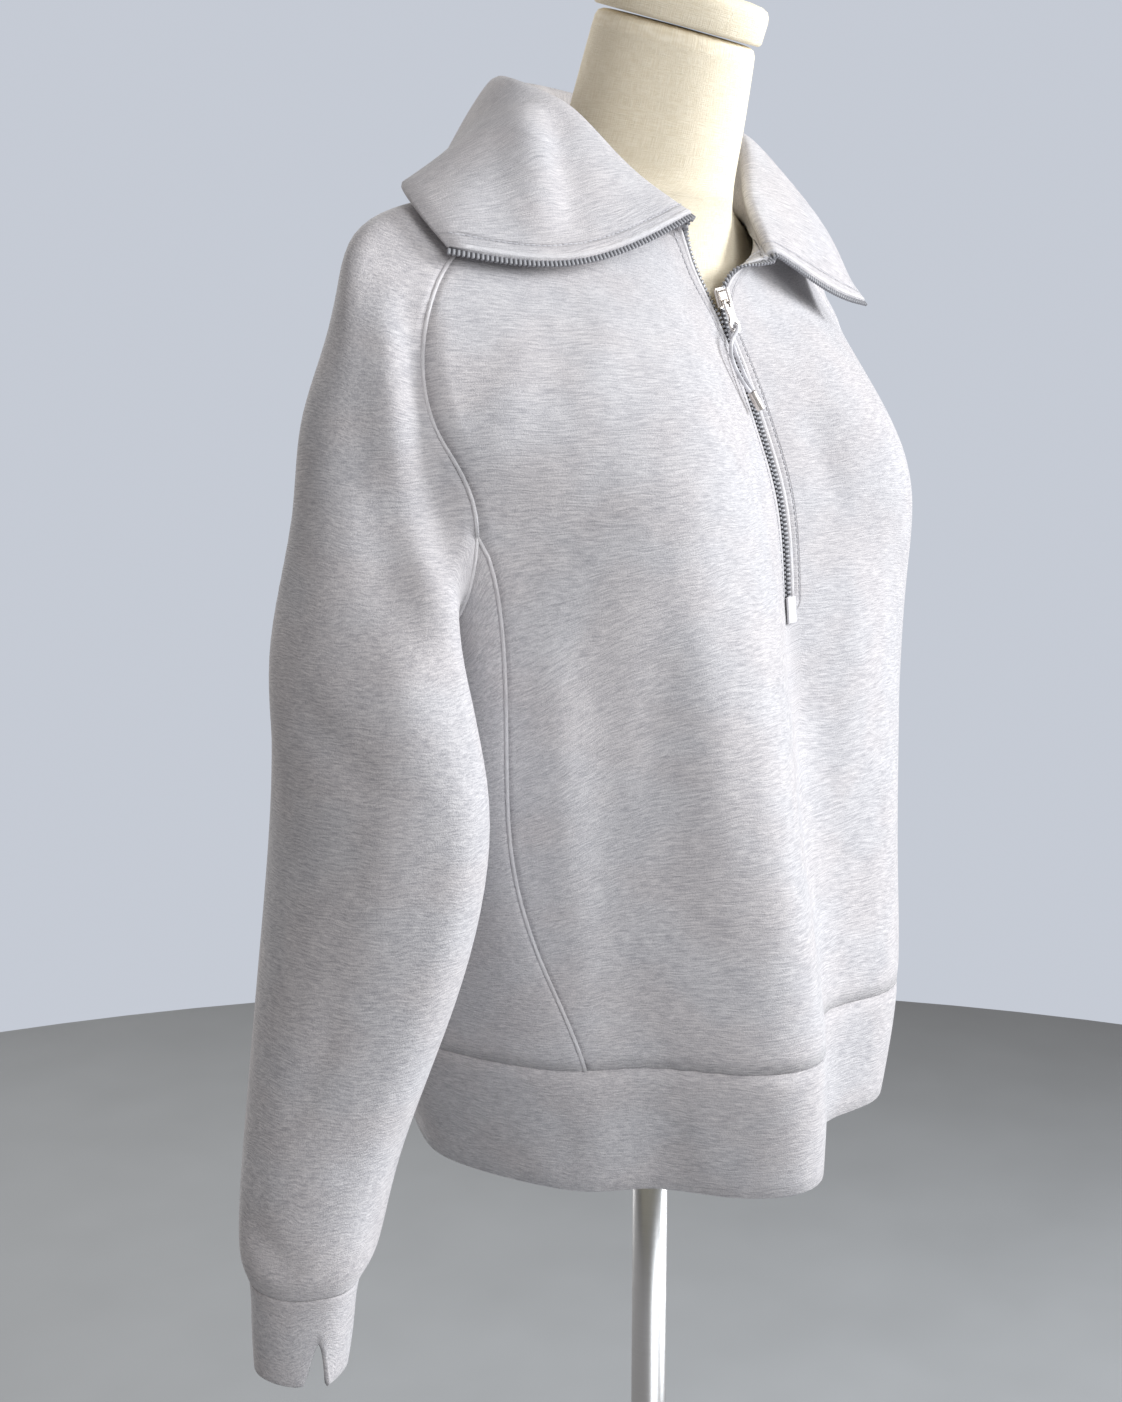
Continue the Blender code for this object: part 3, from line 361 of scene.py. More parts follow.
# Yoke sections from the armhole level up to the neckline. front_right and front_left = the two cloth
# edges of the zip opening, the rest the right half: chest = the middle of the half front, raglan =
# front raglan seam, arm = outermost line of the sleeve, back_raglan, blade = the middle of the half
# back, nape = centre back
YOKE_SECTIONS = table(
    "front_right front_left chest raglan arm back_raglan blade nape",
    ((-0.004, -0.084, 1.236), (0.004, -0.084, 1.236), (-0.118, -0.107, 1.238), (-0.214, -0.036, 1.232),
     (-0.270, 0.014, 1.236), (-0.186, 0.086, 1.236), (-0.100, 0.117, 1.240), (0.0, 0.118, 1.244)),
    ((-0.005, -0.071, 1.277), (0.003, -0.071, 1.277), (-0.108, -0.094, 1.282), (-0.228, -0.025, 1.279),
     (-0.260, 0.021, 1.284), (-0.182, 0.087, 1.284), (-0.098, 0.118, 1.290), (0.0, 0.118, 1.294)),
    ((-0.008, -0.058, 1.314), (0.000, -0.058, 1.314), (-0.100, -0.068, 1.320), (-0.224, -0.012, 1.322),
     (-0.245, 0.025, 1.330), (-0.172, 0.084, 1.332), (-0.092, 0.112, 1.340), (0.0, 0.115, 1.344)),
    ((-0.0140, -0.0465, 1.345), (-0.0040, -0.0475, 1.345), (-0.088, -0.044, 1.352),
     (-0.192, -0.001, 1.364), (-0.228, 0.028, 1.377), (-0.148, 0.074, 1.378), (-0.076, 0.100, 1.386),
     (0.0, 0.106, 1.388)),
    ((-0.0280, -0.0415, 1.368), (0.0070, -0.0475, 1.3655), (-0.074, -0.034, 1.378),
     (-0.138, -0.002, 1.392), (-0.158, 0.030, 1.400), (-0.104, 0.068, 1.403), (-0.054, 0.090, 1.410),
     (0.0, 0.095, 1.413)),
    ((-0.0360, -0.0390, 1.387), (0.0280, -0.0520, 1.3725), (-0.060, -0.026, 1.397), (-0.080, 0.000, 1.408),
     (-0.085, 0.032, 1.417), (-0.066, 0.064, 1.426), (-0.035, 0.076, 1.431), (0.0, 0.080, 1.434)),
)
# The bottom of an armhole, from its front end to its back end
ARMHOLE_FLOOR = ((-0.212, -0.020, 1.190), (-0.211, 0.014, 1.170), (-0.200, 0.054, 1.190))

print("body sections:", len(BODY_SECTIONS), "yoke sections:", len(YOKE_SECTIONS))

# %% [markdown]
# The sleeves hang from the armholes, and the collar turns out over the neckline.

# %% Sections of the sleeves and the collar
# Sleeve sections, down from the armhole: middle (x, y, z), half width and half depth
SLEEVE_SECTIONS = table(
    "x y z half_width half_depth",
    (-0.253, 0.002, 1.172, 0.039, 0.048),
    (-0.260, -0.010, 1.108, 0.041, 0.061),
    (-0.271, -0.005, 1.020, 0.043, 0.056),
    (-0.293, 0.001, 0.938, 0.039, 0.040),
    (-0.308, -0.002, 0.892, 0.034, 0.034),
    (-0.312, -0.002, 0.876, 0.026, 0.028),
    (-0.314, -0.002, 0.854, 0.024, 0.026),
    (-0.316, -0.002, 0.832, 0.022, 0.024),
)
# The left sleeve hangs further back and closer in: shift of its middle at the cuff, from none at the top
LEFT_HANG = (-0.040, 0.012)
LEFT_BACK = 0.030            # how far back the left sleeve lies from its top
LEFT_SLIM = 0.88             # depth of the left sleeve against the right one
CUFF_SEAM = 5                # the sleeve section where the cuff is sewn on
VENT_COLUMN = 1              # the column of the cuff that carries its open vent
VENT_HALF = 0.006            # half width of the vent at the cuff's edge

# Collar stations round the neckline, by yoke column: crest = where the collar rolls over,
# edge = its free upper edge, belly = how far the fall's middle bows away from the straight line
COLLAR_STATIONS = table(
    "column crest edge belly",
    (0, (-0.055, -0.050, 1.392), (-0.195, -0.003, 1.371), (-0.005, -0.009, -0.014)),
    (2, (-0.070, -0.024, 1.416), (-0.200, 0.010, 1.387), (0.000, -0.008, 0.004)),
    (4, (-0.089, 0.000, 1.447), (-0.186, 0.032, 1.402), (-0.003, -0.003, 0.004)),
    (7, (-0.100, 0.030, 1.463), (-0.140, 0.056, 1.406), (0.000, 0.000, 0.003)),
    (10, (-0.064, 0.066, 1.470), (-0.083, 0.090, 1.416), (0.000, 0.003, 0.003)),
    (14, (0.000, 0.086, 1.476), (0.000, 0.124, 1.418), (0.000, 0.010, 0.004)),
    (18, (0.064, 0.068, 1.470), (0.090, 0.098, 1.414), (0.006, 0.008, 0.004)),
    (21, (0.100, 0.028, 1.460), (0.142, 0.060, 1.413), (0.008, 0.004, 0.006)),
    (24, (0.088, -0.006, 1.446), (0.168, 0.014, 1.397), (0.008, -0.004, 0.008)),
    (26, (0.056, -0.030, 1.412), (0.163, -0.029, 1.373), (0.012, -0.008, 0.006)),
    (28, (0.041, -0.055, 1.377), (0.146, -0.056, 1.3535), (0.002, -0.002, -0.004)),
)
COLLAR_ROWS = (("stand", 0.55), ("crest", 1.0), ("fall", 0.48), ("edge", 1.0))
STAND_BELLY = 0.001          # how far the collar's stand bows outwards between seam and crest
FIT_PASSES = 4               # times the cage is pushed out to bring its smooth surface to the sections

print("sleeve sections:", len(SLEEVE_SECTIONS), "collar stations:", len(COLLAR_STATIONS))

# %% [markdown]
# Each section gives a point for a column, counted round the garment from its centre front.

# %% Points of the sections
def through(keys, column):
    """The point at a column, on a smooth curve through keys of (column, point)."""
    for i in range(len(keys) - 1):
        if keys[i][0] <= column <= keys[i + 1][0]:
            break
    c0, c1 = keys[i][0], keys[i + 1][0]
    before = keys[max(i - 1, 0)]
    after = keys[min(i + 2, len(keys) - 1)]
    t = (column - c0) / (c1 - c0)
    start, end = Vector(keys[i][1]), Vector(keys[i + 1][1])
    leave = (end - Vector(before[1])) * ((c1 - c0) / (c1 - before[0]))
    arrive = (Vector(after[1]) - start) * ((c1 - c0) / (after[0] - c0))
    t2, t3 = t * t, t * t * t
    return tuple(start * (2 * t3 - 3 * t2 + 1) + leave * (t3 - 2 * t2 + t)
                 + end * (3 * t2 - 2 * t3) + arrive * (t3 - t2))


def mirrored(point):
    """The same point on the wearer's other side."""
    return (-point[0], point[1], point[2])


def body_point(section, column):
    """A point of a body section; its column turns into degrees from the centre front."""
    turn = column if column <= BODY_COLUMNS / 2 else column - BODY_COLUMNS
    angle = math.copysign(np.interp(abs(turn), (0, HALF, HALF + SIDE, 2 * HALF + SIDE),
                                    (0, section["front_seam"], section["back_seam"], 180)), turn)
    across, along = math.sin(math.radians(angle)), math.cos(math.radians(angle))
    depth = section["front"] if along > 0 else section["back"]
    x = -section["half"] * math.copysign(abs(across) ** BODY_SQUARE, across)
    y = -depth * math.copysign(abs(along) ** BODY_SQUARE, along)
    out = -section["hollow"] * math.exp(-(angle / HOLLOW_WIDTH) ** 2)
    for fold in BODY_FOLDS:
        away = (angle - fold["at"] + 180) % 360 - 180
        out += fold["out"] * section["fold"] * math.exp(-(away / fold["width"]) ** 2)
    z = section["z"] - section["drop"] * across ** 4 - section["tilt"] * x
    return (x - out * across, y - out * along, z)


def yoke_point(row, column):
    """A point of a yoke section. Its keys run all the way round from right to left front."""
    section = YOKE_SECTIONS[row]
    right = [(key, section[name]) for key, name in
             ((2, "chest"), (4, "raglan"), (7, "arm"), (10, "back_raglan"), (12, "blade"))]
    left = [(YOKE_COLUMNS - key, mirrored(point)) for key, point in reversed(right)]
    return through([(0, section["front_right"]), *right, (14, section["nape"]), *left,
                    (YOKE_COLUMNS, section["front_left"])], column)


def sleeve_point(section, column):
    """Columns 0 to 6 run over the outside from front to back, 7 to 9 back along the inside."""
    turn = math.radians(np.interp(column, (0, CAP, CAP + SIDE), (0, 180, 360)))
    return (section["x"] - section["half_width"] * math.sin(turn),
            section["y"] - section["half_depth"] * math.cos(turn), section["z"])


def hung_left(point):
    """A point of the right sleeve, mirrored and hung further back and closer in."""
    top, bottom = SLEEVE_SECTIONS[0]["z"], SLEEVE_SECTIONS[-1]["z"]
    share = (top - point[2]) / (top - bottom)
    x, y, z = mirrored(point)
    return (x + LEFT_HANG[0] * share, y * LEFT_SLIM + LEFT_BACK + LEFT_HANG[1] * share, z)


def collar_point(kind, share, column):
    """A point of one row of the collar: its stand, its crest, its fall or its free edge."""
    seam = Vector(yoke_point(len(YOKE_SECTIONS) - 1, column))
    crest, edge, belly = (Vector(through([(station["column"], station[name]) for station in COLLAR_STATIONS],
                                         column)) for name in ("crest", "edge", "belly"))
    outwards = edge - seam
    outwards.z = 0.0
    outwards.normalize()
    return {"stand": seam.lerp(crest, share) + outwards * STAND_BELLY, "crest": crest,
            "fall": crest.lerp(edge, share) + belly * (4 * share * (1 - share)), "edge": edge}[kind]


print("centre front, by section:", [round(body_point(section, 0)[1], 3) for section in BODY_SECTIONS])

# %% [markdown]
# ## Corners with names
#
# A cage names its corners, so pieces built one after another share the corners of a seam.

# %% The cage, the body and the yoke
class Cage:
    """Named corner points and the faces between them, each face with its panel."""

    def __init__(self):
        self.points, self.index, self.sharp = [], {}, []
        self.faces, self.keys, self.panels = [], [], []

    def put(self, key, point):
        self.index[key] = len(self.points)
        self.points.append(tuple(point))

    def same(self, key, other):
        self.index[key] = self.index[other]

    def at(self, key):
        return self.points[self.index[key]]

    def move(self, key, point):
        self.points[self.index[key]] = tuple(point)

    def face(self, panel, *keys):
        self.faces.append([self.index[key] for key in keys])
        self.keys.append(keys)
        self.panels.append(PANELS.index(panel))

    def band(self, panel, kind, row, start, end):
        """Faces between a row and the next one, from one column to another."""
        for column in range(start, end):
            self.face(panel, (kind, row, column), (kind, row + 1, column),
                      (kind, row + 1, column + 1), (kind, row, column + 1))


def spans(beside, width):
    """The panels round the garment, each with its first and last column."""
    names = ("front_panel", beside + "_right", "back_panel", beside + "_left", "front_panel")
    ends = np.cumsum((0, HALF, width, 2 * HALF, width, HALF)).tolist()
    return zip(names, ends, ends[1:])


def build_body(cage):
    """Front, back and side panels up to the armholes, and the hem band."""
    top = len(BODY_SECTIONS)
    for ring, section in enumerate(BODY_SECTIONS):
        for column in range(BODY_COLUMNS):
            cage.put(("body", ring, column), body_point(section, column))
        cage.same(("body", ring, BODY_COLUMNS), ("body", ring, 0))
    cage.sharp = [("body", top - 1, 0), ("body", top - 1, BODY_COLUMNS)]
    x, y, z = cage.at(cage.sharp[0])
    cage.move(cage.sharp[0], (x - ZIP_SLOT / 2, y, z))
    cage.put(cage.sharp[1], (x + ZIP_SLOT / 2, y, z))
    for column in range(YOKE_COLUMNS + 1):
        cage.put(("yoke", 0, column), yoke_point(0, column))
    for column in range(HALF + 1):
        cage.same(("body", top, column), ("yoke", 0, column))
        cage.same(("body", top, BODY_COLUMNS - column), ("yoke", 0, YOKE_COLUMNS - column))
    for column in range(2 * HALF + 1):
        cage.same(("body", top, HALF + SIDE + column), ("yoke", 0, HALF + CAP + column))
    for step, point in enumerate(ARMHOLE_FLOOR, start=1):
        cage.put(("body", top, HALF + step), point)
        cage.put(("body", top, BODY_COLUMNS - HALF - step), mirrored(point))
    for ring in range(top):
        for panel, start, end in spans("side_panel", SIDE):
            cage.band("hem_band" if ring == 0 else panel, "body", ring, start, end)
    cage.face("front_panel", ("body", top - 2, 0), ("body", top - 1, BODY_COLUMNS), ("body", top - 1, 0))


def build_yoke(cage):
    """The front, back and both sleeves from the armhole level up to the neckline."""
    for row in range(1, len(YOKE_SECTIONS)):
        for column in range(YOKE_COLUMNS + 1):
            cage.put(("yoke", row, column), yoke_point(row, column))
        for panel, start, end in spans("sleeve", CAP):
            cage.band(panel, "yoke", row - 1, start, end)


cage = Cage()
build_body(cage)
build_yoke(cage)
print("body and yoke:", len(cage.points), "corners,", len(cage.faces), "faces")

# %% [markdown]
# The sleeves hang from the armholes. The left one is the right one's mirror image, hung a little
# differently. Each cuff has a vent. The collar turns out over the neckline.

# %% The sleeves and the collar
def build_sleeve(cage, side):
    """One sleeve from its armhole ring down, with its cuff; side is right or left."""
    top, last, right = len(BODY_SECTIONS), len(SLEEVE_SECTIONS), side == "right"
    for step in range(CAP + 1):
        column = HALF + step if right else YOKE_COLUMNS - HALF - step
        cage.same((side, 0, step), ("yoke", 0, column))
    for step in range(1, SIDE):
        column = HALF + SIDE - step if right else BODY_COLUMNS - HALF - SIDE + step
        cage.same((side, 0, CAP + step), ("body", top, column))
    for ring, section in enumerate(SLEEVE_SECTIONS, start=1):
        for step in range(CAP + SIDE):
            point = sleeve_point(section, step)
            cage.put((side, ring, step), point if right else hung_left(point))
    vent = Vector(cage.at((side, last, VENT_COLUMN)))
    along = (Vector(cage.at((side, last, VENT_COLUMN + 1))) - vent).normalized() * VENT_HALF
    cage.move((side, last, VENT_COLUMN), vent + along)
    cage.put((side, last, "vent"), vent - along)
    for ring in range(1, last + 1):
        panel = ("sleeve_" if ring <= CUFF_SEAM + 1 else "cuff_") + side
        for step in range(CAP + SIDE):
            after = (step + 1) % (CAP + SIDE)
            end = (side, ring, "vent" if ring == last and after == VENT_COLUMN else after)
            corners = [(side, ring, step), (side, ring - 1, step), (side, ring - 1, after), end]
            cage.face(panel, *(corners if right else reversed(corners)))


def build_collar(cage):
    """The turned-out collar: a stand up to its crest and a fall down to its free edge."""
    for column in range(YOKE_COLUMNS + 1):
        cage.same(("collar", 0, column), ("yoke", len(YOKE_SECTIONS) - 1, column))
    for row, (kind, share) in enumerate(COLLAR_ROWS, start=1):
        for column in range(YOKE_COLUMNS + 1):
            cage.put(("collar", row, column), collar_point(kind, share, column))
        cage.band("collar", "collar", row - 1, 0, YOKE_COLUMNS)


for side in ("right", "left"):
    build_sleeve(cage, side)
build_collar(cage)
print("whole cage:", len(cage.points), "corners,", len(cage.faces), "faces")

# %% [markdown]
# ## The smooth garment
#
# The cage gets its UV map here. The map holds metres along the courses and across them, so the
# knit keeps its size on every panel. On the collar the courses run the other way.

# %% Map the cage
COLUMN_WIDTH = dict(body=0.046, sleeve=0.030, collar=0.031)


def row_heights(cage, kind, rows, columns):
    """Mean distance between the rows of one part of the cage, added up."""
    total = [0.0]
    for row in range(rows - 1):
        steps = [(Vector(cage.at((kind, row + 1, column))) - Vector(cage.at((kind, row, column)))).length
                 for column in columns]
        total.append(total[-1] + sum(steps) / len(steps))
    return total


def map_cage(cage, mesh):
    """Write the UV map of the cage, corner by corner."""
    rings = len(BODY_SECTIONS)
    body = row_heights(cage, "body", rings + 1, range(0, HALF + 1))
    yoke = [body[-1] + h for h in row_heights(cage, "yoke", len(YOKE_SECTIONS), range(HALF, 3 * HALF))]
    sleeve = [yoke[0] - h for h in row_heights(cage, "right", len(SLEEVE_SECTIONS) + 1, range(CAP))]
    collar = row_heights(cage, "collar", len(COLLAR_ROWS) + 1, range(2, YOKE_COLUMNS - 1))
    layer = mesh.uv_layers.new(name="UVMap")
    for polygon, keys, panel in zip(mesh.polygons, cage.keys, cage.panels):
        name = PANELS[panel]
        for loop, (kind, row, column) in zip(polygon.loop_indices, keys):
            if kind in ("right", "left"):
                step = VENT_COLUMN if column == "vent" else column
                if step == 0 and any(k[2] == CAP + SIDE - 1 for k in keys):
                    step = CAP + SIDE
                layer.data[loop].uv = (step * COLUMN_WIDTH["sleeve"], sleeve[row])
            elif kind == "collar":
                layer.data[loop].uv = (collar[row], column * COLUMN_WIDTH["collar"])
            elif name == "collar":
                layer.data[loop].uv = (0.0, column * COLUMN_WIDTH["collar"])
            else:
                around_it = BODY_COLUMNS if kind == "body" else YOKE_COLUMNS
                high = body[row] if kind == "body" else yoke[row]
                width = COLUMN_WIDTH["body"]
                if name.startswith("sleeve"):
                    column = column - HALF if name.endswith("right") else around_it - HALF - column
                    width = COLUMN_WIDTH["sleeve"]
                elif name.startswith("back"):
                    column -= around_it / 2
                elif column > around_it / 2:
                    column -= around_it
                layer.data[loop].uv = (column * width, high)


mesh = bpy.data.meshes.new("garment_cage")
mesh.from_pydata(cage.points, [], cage.faces)
for name in PANELS:
    mesh.materials.append(bpy.data.materials.new(name))
for polygon, panel in zip(mesh.polygons, cage.panels):
    polygon.material_index = panel
sharp = mesh.attributes.new("crease_vert", "FLOAT", "POINT")
for key in cage.sharp:
    sharp.data[cage.index[key]].value = 1.0
mesh.update()
map_cage(cage, mesh)
print("mapped faces:", len(mesh.polygons))

# %% [markdown]
# The smooth garment is kept as plain arrays, so the next steps can push its corners about.

# %% Smooth the cage
SMOOTH_LEVELS = 3


def evaluated(thing):
    """A new mesh with the object's modifiers applied."""
    graph = bpy.context.evaluated_depsgraph_get()
    graph.update()
    return bpy.data.meshes.new_from_object(thing.evaluated_get(graph), depsgraph=graph)


def fit(cage):
    """Push the cage's corners until the smooth surface passes through the sections' own points."""
    wanted = [corner.co.copy() for corner in cage.data.vertices]
    for _ in range(FIT_PASSES):
        smooth = evaluated(cage)
        for corner, goal, got in zip(cage.data.vertices, wanted, smooth.vertices):
            corner.co += goal - got.co
        cage.data.update()
        bpy.data.meshes.remove(smooth)


def read(items, name, width, kind=float):
    """One property of many mesh items as an array with rows of this width."""
    values = np.empty(len(items) * max(width, 1), kind)
    items.foreach_get(name, values)
    return values.reshape(-1, width) if width else values


class Garment:
    """The smooth garment as arrays: corners, normals, four-cornered faces, their panel and UVs."""

    def __init__(self, mesh):
        self.mesh = mesh
        self.co = read(mesh.vertices, "co", 3)
        self.faces = read(mesh.loops, "vertex_index", 0, int).reshape(-1, 4)
        self.panel = read(mesh.polygons, "material_index", 0, int)
        self.uv = read(mesh.uv_layers["UVMap"].data, "uv", 2).reshape(-1, 4, 2)
        self.read_normals()

    def read_normals(self):
        self.mesh.vertices.foreach_set("co", self.co.ravel())
        self.mesh.update()
        self.normal = read(self.mesh.vertex_normals, "vector", 3)

    def faces_of(self, *names):
        """Which faces belong to these panels."""
        return np.isin(self.panel, [PANELS.index(name) for name in names])

    def corners_of(self, *names):
        """Which corners belong to these panels."""
        mask = np.zeros(len(self.co), bool)
        mask[self.faces[self.faces_of(*names)]] = True
        return mask


cage_thing = linked("garment_cage", mesh)
subdivision = cage_thing.modifiers.new("smooth", "SUBSURF")
subdivision.levels = subdivision.render_levels = 1
subdivision.boundary_smooth = "PRESERVE_CORNERS"
subdivision.uv_smooth = "NONE"
fit(cage_thing)
subdivision.levels = subdivision.render_levels = SMOOTH_LEVELS
garment = Garment(evaluated(cage_thing))
bpy.data.objects.remove(cage_thing)
print("smooth garment:", len(garment.co), "corners,", len(garment.faces), "faces")

# %% [markdown]
# ## Creases
#
# A crease is a width, a depth that is positive for a ridge and negative for a trough, and a line
# of points on the cloth, all in millimetres. Each nearby corner of its panel moves along its
# normal. The depth fades out towards both ends of the line.

# %% Creases
CREASES = {
    # A long hollow and a soft ridge beside it run down the right half of the front.
    "front_panel": (
        (20, -4, (-179, -69, 1220), (-170, -78, 1149), (-161, -81, 1070), (-153, -85, 994),
         (-149, -87, 952)),
        (17, 3, (-127, -102, 1237), (-122, -110, 1146), (-121, -116, 1067), (-122, -122, 1010)),
        (12, 2.8, (-190, -59, 1190), (-182, -63, 1098), (-171, -67, 1023), (-165, -68, 960)),
        (10, -2, (-146, -95, 1178), (-140, -98, 1095), (-136, -104, 1021)),
        # Small puckers where the front is gathered into the hem band.
        (2.6, -1.6, (-140, -99, 964), (-139, -100, 956), (-138, -101, 946)),
        (2.6, -1.8, (-134, -111, 966), (-133, -112, 956), (-132, -113, 946)),
        (2.6, -1.5, (-127, -122, 965), (-126, -123, 957), (-126, -123, 947)),
        (2.6, -1.4, (60, -118, 964), (61, -119, 956), (61, -119, 947)),
        # Drag lines: from the armhole to the chest, and from the collar down.
        (11, -2.4, (-202, -46, 1208), (-184, -63, 1229), (-156, -86, 1239)),
        (10, 2.2, (-171, -33, 1331), (-196, -41, 1297), (-210, -40, 1264)),
        (13, 2, (-106, -39, 1353), (-137, -55, 1322), (-169, -62, 1287)),
        # The left half of the front, which hangs more freely.
        (14, -2.6, (42, -71, 1306), (39, -88, 1267), (45, -98, 1226)),
        (18, 3.4, (65, -102, 1202), (53, -105, 1120), (35, -110, 1033)),
        (15, -2.6, (11, -92, 1171), (-4, -106, 1080), (-30, -124, 1020)),
        (17, -3.4, (135, -70, 1215), (128, -76, 1130), (132, -75, 1040), (128, -78, 965)),
        (13, 2.8, (170, -58, 1190), (160, -66, 1090), (150, -72, 1000)),
        (11, -2.2, (196, -46, 1214), (180, -60, 1228), (152, -76, 1232)),
    ),
    # The right sleeve: a hollow down from the shoulder, soft folds at the elbow, a fold over the cuff.
    "sleeve_right": (
        (12, -3.2, (-224, 17, 1374), (-245, 7, 1330), (-259, 3, 1288), (-265, 3, 1251)),
        (12, 5.2, (-224, 9, 1362), (-232, 7, 1350), (-247, -9, 1286), (-246, -28, 1214), (-245, -48, 1162),
         (-262, -60, 1125)),
        (11, -5.8, (-219, 3, 1350), (-225, -5, 1334), (-232, -21, 1283), (-230, -27, 1240),
         (-233, -35, 1203)),
        (26, 10.5, (-230, 29, 1352), (-244, 35, 1306), (-254, 38, 1262), (-260, 40, 1225),
         (-268, 43, 1180), (-278, 45, 1130)),
        (8, -3.4, (-341, 14, 912), (-339, -4, 903), (-334, -22, 890)),
        (10, -2.6, (-291, 18, 1161), (-297, -13, 1139), (-292, -42, 1121), (-281, -60, 1116)),
        (15, 3.2, (-261, -23, 1204), (-278, -41, 1161), (-290, -48, 1116), (-297, -45, 1070),
         (-305, -38, 1022)),
        (9, -2.4, (-325, -8, 962), (-317, -20, 992), (-310, -27, 1021)),
        (8, 2.2, (-334, 2, 930), (-330, -18, 934), (-318, -34, 942)),
    ),
    # The left sleeve has its own, like them but not their mirror image.
    "sleeve_left": (
        (13, -3, (228, 14, 1370), (248, 4, 1320), (262, 4, 1268), (266, 5, 1236)),
        (11, -4.6, (221, 1, 1346), (227, -8, 1325), (232, -22, 1278), (230, -29, 1236), (234, -37, 1200)),
        (26, 8.5, (232, 30, 1346), (246, 36, 1300), (256, 38, 1255), (262, 41, 1215), (277, 45, 1132)),
        (12, 2.4, (215, 4, 1362), (240, -8, 1310), (254, -8, 1250)),
        (8, -3, (342, 12, 915), (339, -6, 907), (333, -22, 896)),
        (11, -2.8, (292, 16, 1148), (298, -15, 1130), (292, -43, 1115), (280, -60, 1112)),
        (14, 3, (262, -24, 1198), (279, -41, 1150), (291, -48, 1100), (300, -44, 1050)),
        (9, -2.2, (324, -10, 970), (316, -22, 1000), (309, -29, 1030)),
    ),
    # The back hangs from the shoulder blades.
    "back_panel": (
        (19, -3.2, (-70, 116, 1330), (-60, 119, 1240), (-55, 117, 1120), (-60, 115, 1000)),
        (17, -2.8, (75, 118, 1310), (60, 119, 1220), (50, 122, 1100), (52, 123, 990)),
        (20, 3, (-10, 112, 1360), (0, 118, 1250), (-4, 119, 1130), (4, 117, 1000)),
        (13, 2.6, (-110, 113, 1220), (-90, 114, 1170), (-50, 117, 1150)),
        (13, 2.4, (120, 113, 1240), (90, 116, 1180), (55, 120, 1160)),
    ),
    # The collar is pulled down beside the zip, and leans out beside the shoulder.
    "collar": (
        (11, -6.5, (-114, 11, 1449), (-135, -12, 1413), (-149, -26, 1377)),
        (10, 4, (-100, 2, 1449), (-119, -20, 1413), (-133, -35, 1375)),
        (8, -1.8, (-177, 9, 1405), (-185, -4, 1387), (-186, -10, 1370)),
    ),
    # The hem band follows the folds above it.
    "hem_band": (
        (11, -2.2, (-171, -54, 927), (-164, -53, 902), (-158, -50, 880)),
        (10, 2, (-132, -110, 938), (-126, -113, 915), (-119, -112, 884)),
    ),
}
print("creases:", {panel: len(folds) for panel, folds in CREASES.items()})

# %% [markdown]
# Every crease is now pushed into its panel, one after another.

# %% Push the creases into the cloth
MM = 0.001
BROAD = 25                   # millimetres; a crease wider than this fades out sooner
FADE, BROAD_FADE = 0.6, 1.5  # how soon a crease fades out towards its ends


def nearest_on_line(points, line):
    """Distance of each point from a line of points, and its share of the way along."""
    line = np.array(line, float)
    steps = np.linalg.norm(np.diff(line, axis=0), axis=1)
    starts = np.concatenate([[0.0], np.cumsum(steps)])
    best = np.full(len(points), np.inf)
    share = np.zeros(len(points))
    for number, (a, b) in enumerate(zip(line, line[1:])):
        t = np.clip((points - a) @ (b - a) / max(steps[number] ** 2, 1e-12), 0, 1)
        away = np.linalg.norm(points - a - t[:, None] * (b - a), axis=1)
        closer = away < best
        best[closer] = away[closer]
        share[closer] = (starts[number] + t[closer] * steps[number]) / starts[-1]
    return best, share


def crease(panel, width, depth, *points):
    """Raise or sink the cloth along one line. All in millimetres."""
    keys = list(enumerate(points))
    line = [through(keys, t) for t in np.linspace(0, len(points) - 1, 4 * len(points))]
    mask = garment.corners_of(panel)
    away, share = nearest_on_line(garment.co[mask], np.array(line) * MM)
    fade = np.clip(4 * share * (1 - share), 0, 1) ** (BROAD_FADE if width > BROAD else FADE)
    push = depth * MM * np.exp(-(away / (width * MM)) ** 2) * fade
    garment.co[mask] += garment.normal[mask] * push[:, None]


for panel, folds in CREASES.items():
    for fold in folds:
        crease(panel, *fold)
garment.read_normals()
print("creased box:", garment.co.min(axis=0).round(3), garment.co.max(axis=0).round(3))

# %% [markdown]
# ## Edges and seams
#
# An edge with a panel on one side only is free. An edge between two panels is a seam. Both are
# followed corner by corner, so that ribbons, teeth and stitches can run along them.

# %% Free edges and seams
def edge_table():
    """Every edge once, with the panels of its faces: the second is -1 on a free edge."""
    loops = np.stack([garment.faces, np.roll(garment.faces, -1, axis=1)], axis=2).reshape(-1, 2)
    owner = np.repeat(np.arange(len(garment.faces)), 4)
    found = {}
    for (a, b), face in zip(np.sort(loops, axis=1).tolist(), owner.tolist()):
        found.setdefault((a, b), []).append(int(garment.panel[face]))
    return found


def follow(edges, start, stop=None, avoid=()):
    """The corners along connected edges, from start until stop or until the line ends or closes."""
    beside = {}
    for a, b in edges:
        beside.setdefault(a, []).append(b)
        beside.setdefault(b, []).append(a)
    for second in beside[start]:
        chain = [start, second]
        while chain[-1] != stop and chain[-1] not in avoid:
            following = [v for v in beside[chain[-1]] if v != chain[-2]]
            if len(following) != 1 or following[0] == start:
                break
            chain.append(following[0])
        if stop is None or chain[-1] == stop:
            return chain
    raise ValueError("the line doesn't reach its end")


edges_of = edge_table()
free = [pair for pair, owners in edges_of.items() if len(owners) == 1]


